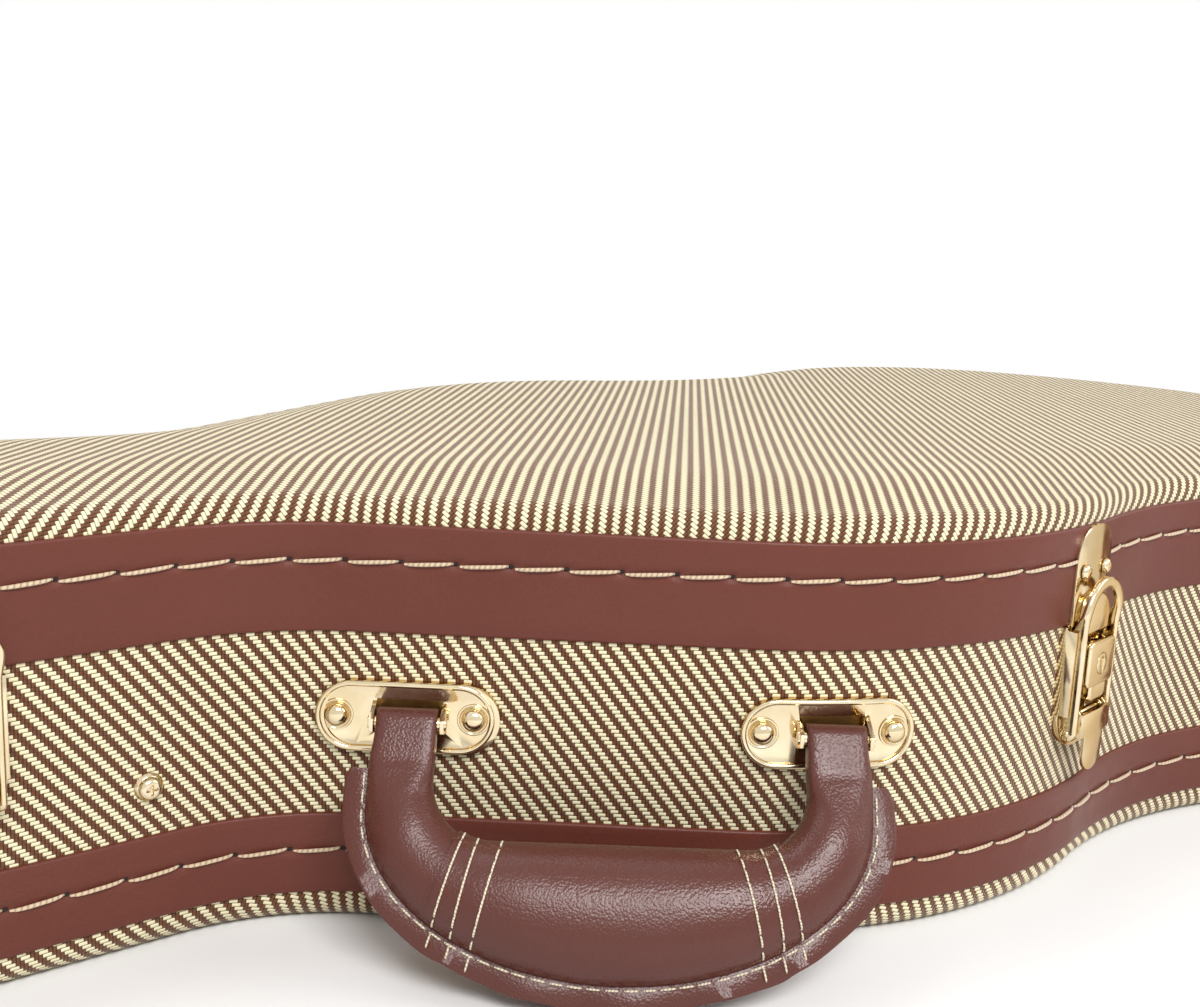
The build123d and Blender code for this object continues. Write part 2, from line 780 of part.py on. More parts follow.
hinges = {"upper": (upper_bout, upper_bout_radius), "lower": (lower_bout, lower_bout_radius)}
hinge_planes = {}
for name, (bout, radius) in hinges.items():
    foot = bout + hinge_normal * radius
    plane = Plane(origin=(foot.X, foot.Y, parting), x_dir=hinge_along, z_dir=hinge_normal)
    hinge_planes[name] = plane
    side = side_plane(plane, 0)
    leaf_low = hinge_barrel + knuckle_gap
    with BuildSketch() as leaf:
        with Locations((0, (hinge_leaf_height + leaf_low) / 2)):
            RectangleRounded(hinge_width, hinge_leaf_height - leaf_low, hinge_corner)
    with BuildPart() as base_leaf:
        add(wall_sheet(plane, mirror(leaf.sketch, about=Plane.XZ), 0, hinge_leaf))
        ends = (knuckle_across + knuckle_gap, hinge_width / 2)
        add(hinge_knuckle(side, ends[0], ends[1], -1, hinge_pin))
        add(hinge_knuckle(side, -ends[1], -ends[0], -1, hinge_pin))
    finish(base_leaf.part, f"hinge_leaf_base_{name}")
    with BuildPart() as lid_leaf:
        add(wall_sheet(plane, leaf.sketch, band, hinge_leaf))
        add(hinge_knuckle(side, -knuckle_across, knuckle_across, 1, hinge_pin + running))
    finish(lid_leaf.part, f"hinge_leaf_lid_{name}")
    with BuildPart() as pin:
        with BuildSketch(side.offset(-hinge_width / 2)):
            with Locations((0, hinge_out)):
                Circle(hinge_pin)
        extrude(amount=hinge_width)
    finish(pin.part, f"hinge_pin_{name}")

hinge_rivet_up = (hinge_leaf_height + hinge_barrel) / 2


def hinge_rivets(up, out):
    """Two rivet heads on each leaf, square to the bout where they stand."""
    with BuildPart() as rivets:
        for bout, radius in hinges.values():
            for side in EACH_SIDE:
                turn = hinge_turn + side * hinge_rivet_spacing / (2 * radius)
                normal = Vector(-sin(turn), cos(turn), 0)
                foot = bout + normal * (radius + out)
                with Locations(Plane(origin=(foot.X, foot.Y, parting + up), z_dir=normal)):
                    add(round_rivet)
    return rivets.part


finish(hinge_rivets(-hinge_rivet_up, hinge_leaf), "hinge_rivets_base")
finish(hinge_rivets(hinge_rivet_up, hinge_leaf + band), "hinge_rivets_lid")

# Handle plates, bent to the wall, with ears that carry the pins along one line.
plate_x_left = shoulder_low_x + handle_past_bend
plates = {
    "left": front_wall(plate_x_left, handle_up),
    "right": front_wall(plate_x_left + handle_spacing, handle_up),
}
pin_points = {name: plane.origin + plane.z_dir * handle_pin_out for name, plane in plates.items()}
handle_along = (pin_points["right"] - pin_points["left"]).normalized()
handle_outward = handle_along.cross(Vector(0, 0, 1))
pin_spacing = (pin_points["right"] - pin_points["left"]).length


def stadium(length, height):
    with BuildSketch() as profile:
        SlotOverall(length, height)
    return profile.sketch


with BuildPart() as base_plan:
    with BuildSketch():
        add(outline(0))
    extrude(amount=lid_edge)

plate_parts = []
for name, plane in plates.items():
    pin_plane = Plane(origin=pin_points[name], x_dir=handle_along, z_dir=handle_outward)
    with BuildPart() as plate:
        face = stadium(plate_length, plate_height)
        rim = stadium(plate_length - 2 * plate_bead_width, plate_height - 2 * plate_bead_width)
        add(wall_sheet(plane, face, 0, plate_sheet))
        add(wall_sheet(plane, face - rim, plate_sheet, plate_bead))
        with BuildSketch(plane.offset(-plate_length)):
            Rectangle(plate_window_width, plate_window_height)
        extrude(amount=2 * plate_length, mode=Mode.SUBTRACT)
        for side in EACH_SIDE:
            ear_middle = side * (plate_window_width + ear_thickness) / 2
            with BuildSketch(side_plane(pin_plane, ear_middle - ear_thickness / 2)):
                with BuildLine():
                    Polyline(
                        (ear_half, -handle_pin_out - ear_tip),
                        (ear_tip, ear_out - handle_pin_out),
                        (-ear_tip, ear_out - handle_pin_out),
                        (-ear_half, -handle_pin_out - ear_tip),
                        close=True,
                    )
                make_face()
                Circle(handle_pin, mode=Mode.SUBTRACT)
            extrude(amount=ear_thickness)
        add(base_plan.part, mode=Mode.SUBTRACT)
    finish(plate.part, f"handle_plate_{name}")
    plate_parts.append(plate.part)

pin_half = plate_window_width / 2 + ear_thickness + handle_pin_end
with BuildPart() as handle_pins:
    for point in pin_points.values():
        pin_plane = Plane(origin=point, x_dir=handle_along, z_dir=handle_outward)
        with BuildSketch(side_plane(pin_plane, -pin_half)):
            Circle(handle_pin)
        extrude(amount=2 * pin_half)
finish(handle_pins.part, "handle_pins")

with BuildPart() as handle_rivets:
    for plane in plates.values():
        for side in EACH_SIDE:
            rivet_x = plane.origin.X + side * plate_rivet_spacing / 2 * plane.x_dir.X
            with Locations(front_wall(rivet_x, handle_up).offset(plate_sheet)):
                add(round_rivet)
    add(plate_parts, mode=Mode.SUBTRACT)
finish(handle_rivets.part, "handle_rivets")

# Handle: a stitched leather strap on the pins with a padded grip on both of its faces.
lean = radians(handle_lean)
reach_way = handle_outward * sin(lean) - Vector(0, 0, 1) * cos(lean)
handle_middle = (pin_points["left"] + pin_points["right"]) * 0.5
strap_face = handle_along.cross(reach_way * -1)
strap_plane = Plane(origin=handle_middle, x_dir=handle_along, z_dir=strap_face)
strap_half = pin_spacing / 2 + strap_width / 2
window_half = pin_spacing / 2 - strap_width / 2

with BuildPart() as handle_strap:
    with BuildSketch(strap_plane.offset(-strap_thickness / 2)):
        with Locations((0, -strap_middle)):
            Ellipse(flange_half, strap_reach - strap_middle)
        with Locations((0, strap_reach / 2 - strap_middle)):
            Rectangle(2 * flange_half, strap_reach, mode=Mode.SUBTRACT)
        with Locations((0, -(strap_shoulder + strap_middle + flange_corner) / 2)):
            RectangleRounded(
                2 * flange_half, strap_middle + flange_corner - strap_shoulder, flange_corner
            )
        with Locations((0, -strap_middle / 2)):
            Rectangle(2 * strap_half, strap_middle)
        with Locations((0, (strap_reach - window_reach) / 2)):
            RectangleRounded(
                2 * window_half, strap_reach + window_reach, window_corner, mode=Mode.SUBTRACT
            )
    extrude(amount=strap_thickness)
    for side in EACH_SIDE:
        loop_plane = Plane(origin=handle_middle, x_dir=strap_plane.y_dir, z_dir=handle_along)
        loop_start = side * pin_spacing / 2 - strap_width / 2
        with BuildSketch(loop_plane.offset(loop_start)):
            Circle(loop_radius)
        extrude(amount=strap_width)
        with BuildSketch(loop_plane.offset(loop_start - 1)):
            Circle(handle_pin + running)
        extrude(amount=strap_width + 2, mode=Mode.SUBTRACT)
finish(handle_strap.part, "handle_strap")

grip_centre = handle_middle + reach_way * grip_reach
grip_plane = Plane(origin=grip_centre, x_dir=strap_plane.y_dir, z_dir=handle_along)
with BuildPart() as handle_grip:
    for place, scale in grip_stations:
        with BuildSketch(grip_plane.offset(place * grip_length / 2)):
            Ellipse(grip_half_height * scale, grip_half_depth * scale)
    loft()
    add(handle_strap.part, mode=Mode.SUBTRACT)
finish(handle_grip.part, "handle_grip")

# Side screw with its cup washer, which holds the compartment.
screw_plane = front_wall(neck_root_x - screw_before_bend, screw_up)
with BuildPart() as side_screw_washer:
    with Locations(screw_plane):
        Cone(
            washer_radius, screw_head, washer_height, align=(Align.CENTER, Align.CENTER, Align.MIN)
        )
finish(side_screw_washer.part, "side_screw_washer")

with BuildPart() as side_screw:
    with Locations(screw_plane.offset(washer_height)):
        add(boss_head(screw_head, screw_head_height))
    with BuildSketch(screw_plane.offset(washer_height + screw_head_height)):
        Rectangle(screw_head, screw_slot)
        Rectangle(screw_slot, screw_head)
    extrude(amount=-screw_head_height / 2, mode=Mode.SUBTRACT)
finish(side_screw.part, "side_screw")
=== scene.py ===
import json
from math import acos, atan2, ceil, copysign, cos, exp, pi, radians, sin, sqrt

import bmesh
import bpy
import numpy as np
from mathutils import Matrix, Vector


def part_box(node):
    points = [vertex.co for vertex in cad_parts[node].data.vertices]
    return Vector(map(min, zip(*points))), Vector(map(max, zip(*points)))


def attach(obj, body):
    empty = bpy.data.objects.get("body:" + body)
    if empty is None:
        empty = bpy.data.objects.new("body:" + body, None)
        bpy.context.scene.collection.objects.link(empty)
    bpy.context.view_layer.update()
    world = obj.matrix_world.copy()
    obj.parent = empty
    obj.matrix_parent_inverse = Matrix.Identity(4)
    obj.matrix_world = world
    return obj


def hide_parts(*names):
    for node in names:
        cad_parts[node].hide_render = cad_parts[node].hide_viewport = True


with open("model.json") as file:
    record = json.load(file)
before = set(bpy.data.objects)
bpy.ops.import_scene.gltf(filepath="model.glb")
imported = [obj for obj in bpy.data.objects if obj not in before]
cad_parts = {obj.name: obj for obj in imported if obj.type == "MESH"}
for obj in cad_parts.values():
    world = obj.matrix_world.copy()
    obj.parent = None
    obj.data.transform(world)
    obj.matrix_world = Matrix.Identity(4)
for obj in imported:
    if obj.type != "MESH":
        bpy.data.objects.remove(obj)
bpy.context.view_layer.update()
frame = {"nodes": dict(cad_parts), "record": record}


# The plan of the case. The plywood walls are bent to arcs that touch each other, and cloth,
# bands and stitching all follow them, so this path is worked out once, as in the CAD.
neck_end_x = -0.525
neck_end_half_width = 0.077
neck_flare = radians(2.35)
neck_corner_radius = 0.048
junction_radius = 0.080
shoulder_angle = radians(35.4)
upper_bout = Vector((0.1275, 0.0095))
upper_bout_radius = 0.162
waist_radius = 0.180
lower_bout = Vector((0.372, 0.058))
lower_bout_radius = 0.136
tail_centre = Vector((0.282, 0.0))
station_step = 0.0015


def crossing(normal_a, reach_a, normal_b, reach_b):
    """The point that lies reach_a along normal_a and reach_b along normal_b."""
    det = normal_a.cross(normal_b)
    return Vector((
        (reach_a * normal_b.y - reach_b * normal_a.y) / det,
        (normal_a.x * reach_b - normal_b.x * reach_a) / det,
    ))


def stretch(centre, start, end):
    """Points and outward normals from start to end, on an arc about centre or straight without one."""
    if centre is None:
        way = end - start
        count = ceil(way.length / station_step)
        normal = Vector((-way.y, way.x)).normalized()
        return [(start + way * (i / count), normal) for i in range(count)]
    first = atan2(start.y - centre.y, start.x - centre.x)
    turn = (atan2(end.y - centre.y, end.x - centre.x) - first + pi) % (2 * pi) - pi
    radius = (start - centre).length
    count = max(4, ceil(abs(turn) * radius / station_step))
    found = []
    for i in range(count):
        angle = first + turn * i / count
        spoke = Vector((cos(angle), sin(angle)))
        found.append((centre + spoke * radius, spoke if turn < 0 else -spoke))
    return found


def plan_path():
    """Stations round the case as (distance, point, outward normal), from the neck end along the
    latch side, round the tail and back along the hinge side."""
    end_normal = Vector((-1.0, 0.0))
    neck_normal = Vector((sin(neck_flare), cos(neck_flare)))
    shoulder_normal = Vector((-sin(shoulder_angle), cos(shoulder_angle)))
    neck_reach = neck_normal.dot(Vector((neck_end_x, neck_end_half_width)))
    shoulder_reach = shoulder_normal.dot(upper_bout) + upper_bout_radius
    corner = crossing(
        end_normal, -neck_end_x - neck_corner_radius, neck_normal, neck_reach - neck_corner_radius
    )
    junction = crossing(
        neck_normal, neck_reach + junction_radius, shoulder_normal, shoulder_reach + junction_radius
    )
    across = lower_bout - upper_bout
    reach_a = upper_bout_radius + waist_radius
    reach_b = lower_bout_radius + waist_radius
    along = (reach_a**2 - reach_b**2 + across.length_squared) / (2 * across.length)
    way = across.normalized()
    waist = upper_bout + way * along + Vector((-way.y, way.x)) * sqrt(reach_a**2 - along**2)
    tail_way = (lower_bout - tail_centre).normalized()
    tail_end = Vector((tail_centre.x + lower_bout_radius + (lower_bout - tail_centre).length, 0.0))
    corners = [
        (None, Vector((neck_end_x, 0.0))),
        (corner, corner + end_normal * neck_corner_radius),
        (None, corner + neck_normal * neck_corner_radius),
        (junction, junction - neck_normal * junction_radius),
        (None, junction - shoulder_normal * junction_radius),
        (upper_bout, upper_bout + shoulder_normal * upper_bout_radius),
        (waist, upper_bout + (waist - upper_bout).normalized() * upper_bout_radius),
        (lower_bout, lower_bout + (waist - lower_bout).normalized() * lower_bout_radius),
        (tail_centre, lower_bout + tail_way * lower_bout_radius),
        (None, tail_end),
    ]
    half = []
    for (centre, start), (_, end) in zip(corners, corners[1:]):
        half += stretch(centre, start, end)
    half.append((tail_end, Vector((1.0, 0.0))))
    latch_side = [(Vector((p.x, -p.y)), Vector((n.x, -n.y))) for p, n in half]
    loop = latch_side + half[-2:0:-1]
    stations = []
    distance = 0.0
    for index, (point, normal) in enumerate(loop):
        if index:
            distance += (point - loop[index - 1][0]).length
        stations.append((distance, point, normal))
    return stations, distance + (loop[0][0] - loop[-1][0]).length


walls, round_length = plan_path()


# Tweed cloth. A lacquered twill: each cream weft thread floats over half of its repeat and
# steps one thread to the side in the next row, so that the brown warp shows between as knots
# in slanting stripes.
def math_node(operation, *fixed):
    """An operator of values, with any fixed numbers before the other value."""
    return lambda value, other: value.math(operation, *fixed, other)


class Value:
    """A socket of a shader. Python's operators on it add the Math nodes."""

    def __init__(self, shader, socket):
        self.shader = shader
        self.socket = socket

    def math(self, operation, *others):
        inputs = dict(enumerate((self, *others)))
        return self.shader.node("ShaderNodeMath", {"operation": operation}, inputs)

    __add__ = __radd__ = math_node("ADD")
    __sub__ = math_node("SUBTRACT")
    __rsub__ = math_node("MULTIPLY_ADD", -1.0)
    __mul__ = __rmul__ = math_node("MULTIPLY")
    __truediv__ = math_node("DIVIDE")
    __mod__ = math_node("FLOORED_MODULO")
    __pow__ = math_node("POWER")
    __lt__ = math_node("LESS_THAN")

    def crown(self, power, root):
        """The height of a thread: 1 in its middle, and 0 where this is -1 or 1."""
        return (1.0 - self.math("ABSOLUTE") ** power).math("MAXIMUM", 0.0) ** root

    def smooth(self, low, high):
        """0 below low, 1 above high and a smooth rise between."""
        inputs = {"Value": self, "From Min": low, "From Max": high}
        return self.shader.node("ShaderNodeMapRange", {"interpolation_type": "SMOOTHSTEP"}, inputs)

    def pick(self, low, high):
        """low where this is 0 and high where it is 1."""
        return self.math("MULTIPLY_ADD", high - low, low)


class Shader:
    """One material. Its node method makes any node and gives that node's value."""

    def __init__(self, name, **sockets):
        self.material = bpy.data.materials.new(name)
        self.material.use_nodes = True
        self.tree = self.material.node_tree
        self.surface = self.tree.nodes["Principled BSDF"]
        self.set(**sockets)

    def plug(self, value, socket):
        if isinstance(value, Value):
            self.tree.links.new(value.socket, socket)
        else:
            socket.default_value = value

    def set(self, **sockets):
        """Gives the surface's sockets these values, and gives back the material."""
        for key, value in sockets.items():
            title = key.replace("_", " ").title().replace("Ior", "IOR")
            self.plug(value, self.surface.inputs[title])
        return self.material

    def node(self, kind, settings=(), inputs=(), output=0):
        made = self.tree.nodes.new(kind)
        for key, value in dict(settings).items():
            setattr(made, key, value)
        for key, value in dict(inputs).items():
            self.plug(value, made.inputs[key])
        return Value(self, made.outputs[output])

    def place(self):
        return self.node("ShaderNodeTexCoord", output="Object")

    def uv(self):
        return self.node("ShaderNodeUVMap", {"uv_map": "cloth"})

    def along_and_across(self):
        """How far along and across the cloth or thread a point is."""
        parts = self.tree.nodes.new("ShaderNodeSeparateXYZ")
        self.plug(self.uv(), parts.inputs[0])
        return Value(self, parts.outputs["X"]), Value(self, parts.outputs["Y"])

    def noise(self, vector, scale, detail=2.0, roughness=0.5):
        inputs = {"Vector": vector, "Scale": scale, "Detail": detail, "Roughness": roughness}
        return self.node("ShaderNodeTexNoise", {}, inputs, "Fac")

    def scaled(self, vector, x, y, z):
        return self.node("ShaderNodeMapping", {}, {"Vector": vector, "Scale": (x, y, z)})

    def mix(self, share, low, high):
        return self.node("ShaderNodeMix", {"data_type": "RGBA"}, {0: share, 6: low, 7: high}, 2)

    def tint(self, colour, share):
        """The colour made lighter or darker by a value about 1."""
        inputs = {0: colour if isinstance(colour, Value) else colour[:3], "Scale": share}
        return self.node("ShaderNodeVectorMath", {"operation": "SCALE"}, inputs)

    def bump(self, height, distance, strength):
        inputs = {"Height": height, "Distance": distance, "Strength": strength}
        self.set(normal=self.node("ShaderNodeBump", {}, inputs))


thread_across = 0.00097
thread_up = 0.00123
thread_relief = 0.00045
repeat = 5.0
float_threads = 2.65
knot_threads = (repeat - float_threads) / 2
cream = (0.80, 0.725, 0.48, 1.0)
brown = (0.145, 0.053, 0.021, 1.0)
# Painted shadow: the near-black colour put into the gaps between the threads.
thread_gap_shadow = (0.030, 0.010, 0.005, 1.0)


def tweed(name, gap_shadow_share):
    """The cloth's finish, with this share of shadow in the gaps between its threads."""
    shader = Shader(
        name, specular_ior_level=0.2,
        sheen_weight=0.40, sheen_roughness=0.40, sheen_tint=(1.0, 0.88, 0.72, 1.0),
    )
    u, v = shader.along_and_across()
    row = v / thread_up
    place = (u / thread_across + row.math("FLOOR")) % repeat
    is_weft = place < float_threads
    row_across = (row % 1.0) * 2.0 - 1.0
    weft_along = place * (2.0 / float_threads) - 1.0
    knot_across = (((place - float_threads) / knot_threads) % 1.0) * 2.0 - 1.0
    weft = is_weft * row_across.crown(2.0, 0.6) * weft_along.crown(7.0, 0.7)
    knot = is_weft.pick(0.8, 0.0) * knot_across.crown(2.0, 0.7) * row_across.crown(5.0, 0.5)
    height = weft + knot
    shows = height.smooth(0.18, 0.60)
    fibres = shader.noise(shader.scaled(shader.uv(), 1500.0, 4200.0, 1.0), 1.0)
    patches = shader.noise(shader.place(), 14.0, 3.0)
    light = (fibres - 0.5) * 0.30 + (patches - 0.5) * 0.20 + 1.0
    thread = shader.mix(is_weft, brown, cream)
    gap = shader.mix(gap_shadow_share, thread, thread_gap_shadow)
    shader.bump(height * 0.9 + fibres * 0.12, thread_relief, 0.9)
    return shader.set(
        base_color=shader.mix(shows, gap, shader.tint(thread, light)), roughness=shows.pick(0.75, 0.5)
    )


# The sides' copy paints the full shadow into the gaps between threads, and the lid's copy paints less of it.
side_tweed = tweed("side_tweed", 1.0)
lid_tweed = tweed("lid_tweed", 0.80)


# Side cloth of the base. One strip glued round the plywood wall, from the parting line down
# behind the lower band, where it laps the cloth of the underside. Its threads are drawn a touch
# closer or wider, so that whole repeats go round the case.
def placed(name, data):
    """A new object of the scene, made of this mesh, lamp or camera."""
    thing = bpy.data.objects.new(name, data)
    bpy.context.scene.collection.objects.link(thing)
    return thing


def new_piece(name, verts, faces, uvs=None):
    """A smooth piece, with its place in its own vertices and the cloth's length as its UV."""
    mesh = bpy.data.meshes.new(name)
    mesh.from_pydata([tuple(v) for v in verts], [], faces)
    if uvs is not None:
        layer = mesh.uv_layers.new(name="cloth")
        layer.data.foreach_set("uv", [c for face in uvs for uv in face for c in uv])
    mesh.validate()
    mesh.shade_smooth()
    return placed(name, mesh)


def sharpen(piece, degrees):
    piece.data.set_sharp_from_angle(angle=radians(degrees))


def dress(piece, material, body, slot, *nodes):
    """Gives a piece its finish, the CAD body that it rides on and the nodes that it stands for."""
    piece.data.materials.clear()
    piece.data.materials.append(material)
    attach(piece, body)
    if nodes:
        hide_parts(*nodes)
    return piece


def ring_sweep(name, profile):
    """A closed ring round the case. Its profile lists (out, up, cloth's length across), or is a
    function that gives such a list for the distance round the case."""
    rows = [profile(distance) if callable(profile) else profile for distance, _, _ in walls]
    width = len(rows[0])
    verts = []
    for (_, point, normal), row in zip(walls, rows):
        for out, up, _ in row:
            foot = point + normal * out
            verts.append((foot.x, foot.y, up))
    faces = []
    uvs = []
    for index, row in enumerate(rows):
        after = (index + 1) % len(walls)
        here_u = walls[index][0]
        after_u = walls[after][0] if after else round_length
        for k in range(width):
            k2 = (k + 1) % width
            low = row[k][2]
            high = row[k2][2] if k2 else low
            faces.append((index * width + k, after * width + k, after * width + k2, index * width + k2))
            uvs.append(((here_u, low), (after_u, low), (after_u, high), (here_u, high)))
    return new_piece(name, verts, faces, uvs)


cover = 0.001
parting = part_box("base_wall")[1].z
side_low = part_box("base_side_cover")[0].z
side_ups = [side_low + (parting - side_low) * k / 6 for k in range(7)]
side_profile = [(0.0, up, up) for up in side_ups]
side_profile += [(-cover, parting, parting + cover), (-cover, side_low, parting + 2 * cover)]
side_cloth = ring_sweep("side_cloth", side_profile)
repeat_along = repeat * thread_across
whole_repeats = round(round_length / repeat_along) * repeat_along / round_length
for loop in side_cloth.data.uv_layers["cloth"].data:
    loop.uv.x *= whole_repeats
sharpen(side_cloth, 50)
dress(side_cloth, side_tweed, "base", "tweed_cloth", "base_side_cover")


# Cloth of the lid and of the underside. Each is one sheet, pulled over a rolled edge, so its
# threads run straight across the flat and carry on down the roll.
cover_roll = 0.007
crown_run = 0.044
lid_crown = 0.005
lid_thread_turn = radians(103)


def panel_cloth(name, rim_up, edge_up, flat_up, turn, flip):
    """A shell over a panel: up the rim, round the roll and in over the crown to the flat. Its rows
    are (out, up, length of cloth outside the roll), with None where the cloth lies on the panel."""
    sign = 1.0 if flat_up > rim_up else -1.0
    roll_foot = edge_up - sign * cover_roll
    rows = [(0.0, rim_up, abs(roll_foot - rim_up) + cover_roll * pi / 2)]
    for k in range(9):
        angle = pi / 2 * k / 8
        up = edge_up - sign * cover_roll * (1 - sin(angle))
        rows.append((-cover_roll * (1 - cos(angle)), up, cover_roll * (pi / 2 - angle)))
    for k in range(1, 9):
        inset = cover_roll + (crown_run - cover_roll) * k / 8
        rows.append((-inset, edge_up + (flat_up - edge_up) * sin(pi / 2 * k / 8), None))
    inner = [(min(out, -cover), up - sign * cover, None) for out, up, _ in rows[::4]]
    along = Vector((cos(turn), sin(turn) * flip))
    over = Vector((-sin(turn), cos(turn) * flip))
    verts = []
    threads = []
    for profile in (rows, inner):
        for _, point, normal in walls:
            for out, up, beyond in profile:
                foot = point + normal * out
                verts.append((foot.x, foot.y, up))
                flat = foot if beyond is None else point + normal * (beyond - cover_roll)
                threads.append((flat.dot(along), flat.dot(over)))
    count = len(walls)
    width = len(rows)
    narrow = len(inner)
    start = count * width
    outside = [[index * width + k for k in range(width)] for index in range(count)]
    inside = [
        [index * width] + [start + index * narrow + k for k in range(narrow)] for index in range(count)
    ]
    faces = []
    for index in range(count):
        after = (index + 1) % count
        here, there = outside[index], outside[after]
        faces += [(here[k], there[k], there[k + 1], here[k + 1]) for k in range(width - 1)]
    faces.append(tuple(line[-1] for line in outside))
    for index in range(count):
        here, there = inside[index], inside[(index + 1) % count]
        faces += [(here[k], here[k + 1], there[k + 1], there[k]) for k in range(narrow)]
    faces.append(tuple(line[-1] for line in inside[::-1]))
    if sign < 0:
        faces = [face[::-1] for face in faces]
    uvs = [[threads[v] for v in face] for face in faces]
    piece = new_piece(name, verts, faces, uvs)
    sharpen(piece, 50)
    return piece


lid_low, lid_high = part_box("lid_cover")
lid_edge = lid_high.z - lid_crown
lid_cloth = panel_cloth("lid_cloth", lid_low.z, lid_edge, lid_high.z, lid_thread_turn, 1.0)
dress(lid_cloth, lid_tweed, "lid", "tweed_cloth", "lid_cover")

under_low, under_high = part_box("base_bottom_cover")
underside_cloth = panel_cloth("underside_cloth", under_high.z, under_low.z, under_low.z, 0.0, -1.0)
dress(underside_cloth, side_tweed, "base", "tweed_cloth", "base_bottom_cover")


# Bands. A strip of leatherette, an embossed vinyl in a reddish brown, is glued over the edge of
# the cloth with its own edges folded under. It is stitched through the wall, and each stitch
# draws a small pit into it.
def leather(name, colour, pebble, depth, roughness, shine):
    """A skin with pebbles of this size and depth."""
    shader = Shader(name, specular_ior_level=shine)
    place = shader.place()
    inputs = {"Vector": place, "Scale": 1.0 / pebble, "Smoothness": 0.6}
    cells = shader.node("ShaderNodeTexVoronoi", {"feature": "SMOOTH_F1"}, inputs)
    creases = shader.noise(place, 0.45 / pebble, 3.0, 0.6)
    patches = shader.noise(place, 18.0, 3.0)
    light = (patches - 0.5) * 0.25 + (creases - 0.5) * 0.18 + 1.0
    shader.bump((1.0 - cells) * 0.7 + creases * 0.5, depth, 0.8)
    worn = patches.smooth(0.35, 0.75)
    return shader.set(
        base_color=shader.tint(colour, light), roughness=worn.pick(roughness + 0.05, roughness - 0.05)
    )


band_leather = leather(
    "band_leather", (0.126, 0.034, 0.0225, 1.0), pebble=0.00062, depth=0.00012, roughness=0.38, shine=0.22
)
sewing_pitch = 0.0162
stitches = round(round_length / sewing_pitch)
stitch_pitch = round_length / stitches
band_thickness = 0.0012
band_fold = 0.0009
sewn_strip = 0.0035
groove_half, groove_depth = 0.0016, 0.00030
pit_half, pit_depth = 0.0013, 0.00075
pucker_half, pucker_height = 0.0030, 0.00022


def band(name, node, body, stitch_share):
    """One band, stitched at this share of its height. Gives back how high that is."""
    low, high = (corner.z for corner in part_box(node))
    stitch_up = low + (high - low) * stitch_share
    below = stitch_up - sewn_strip - low - band_fold
    above = high - band_fold - stitch_up - sewn_strip
    ups = [low + band_fold * (1 - cos(pi / 2 * k / 3)) for k in range(4)]
    ups += [low + band_fold + below * k / 3 for k in range(1, 4)]
    ups += [stitch_up + sewn_strip * k / 6 for k in range(-5, 6)]
    ups += [stitch_up + sewn_strip + above * k / 3 for k in range(4)]
    ups += [high - band_fold * (1 - sin(pi / 2 * k / 3)) for k in range(1, 4)]

    def profile(distance):
        from_hole = (distance + stitch_pitch / 2) % stitch_pitch - stitch_pitch / 2
        row = []
        for up in ups:
            edge = min(up - low, high - up)
            out = band_thickness
            if edge < band_fold:
                out -= band_fold * (1 - sqrt(1 - (1 - edge / band_fold) ** 2))
            lift = (up - stitch_up) / groove_half
            out -= groove_depth * exp(-lift * lift)
            out -= pit_depth * exp(-((from_hole / pit_half) ** 2) - (lift * 1.3) ** 2)
            beside = (abs(lift) - 1.9) / 0.8
            out += pucker_height * exp(-((from_hole / pucker_half) ** 2) - beside * beside)
            row.append((max(out, 0.0001), up, up - low))
        row.append((0.0, high, high - low + band_fold))
        row.append((0.0, low, high - low + 2 * band_fold))
        return row

    piece = ring_sweep(name, profile)
    sharpen(piece, 60)
    dress(piece, band_leather, body, "binding_leatherette", node)
    return stitch_up


upper_stitch = band("upper_band", "lid_binding", "lid", 0.66)
lower_stitch = band("lower_band", "base_binding", "base", 0.55)


# Stitching. A twisted waxed thread lies on the band from each hole to the next and dives into
# it at both ends. Geometry Nodes lay one stitch at every point of the line.
thread_size = (stitch_pitch * 0.93, 0.0013, 0.0012)
thread_out = band_thickness + 0.0001
thread_start = (0.08, -0.0005)
thread_middle = (0.52, -0.0001)
thread_end = (0.96, 0.0003)
hole_size = (0.0024, 0.0013, 0.0009)
hole_out = band_thickness - 0.0006
hole_rise = 0.0002
wall_distance = np.array([distance for distance, _, _ in walls])


def on_wall(distance, out, up):
    """The place this far round the case, this far outside the wall and this high."""
    distance %= round_length
    index = int(np.searchsorted(wall_distance, distance, side="right")) - 1
    here, point, normal = walls[index]
    after = walls[(index + 1) % len(walls)]
    share = (distance - here) / ((after[0] - here) % round_length)
    normal = normal.lerp(after[2], share).normalized()
    foot = point.lerp(after[1], share) + normal * out
    return Vector((foot.x, foot.y, up)), normal.to_3d()


def modify(piece, kind, **settings):
    """A new modifier of the piece, with these settings."""
    modifier = piece.modifiers.new(kind.lower(), kind)
    for key, value in settings.items():
        setattr(modifier, key, value)
    return modifier


def applied(piece):
    """Makes the piece's modifiers part of its mesh."""
    graph = bpy.context.evaluated_depsgraph_get()
    mesh = bpy.data.meshes.new_from_object(piece.evaluated_get(graph))
    piece.modifiers.clear()
    piece.data = mesh


def thread_finish(name, colour, twist):
    """Two plies that show as this many slanting turns along each stitch."""
    shader = Shader(name, roughness=0.62, sheen_weight=0.25, sheen_roughness=0.5)
    u, v = shader.along_and_across()
    strand = (((u * twist + v) % 1.0) * 2.0 - 1.0).crown(2.0, 0.5)
    shader.bump(strand, 0.00025, 0.9)
    # The colour carries painted shade in the grooves between the plies, and a slight painted highlight on
    # their crowns.
    return shader.set(base_color=shader.tint(colour, strand.pick(0.45, 1.05)))


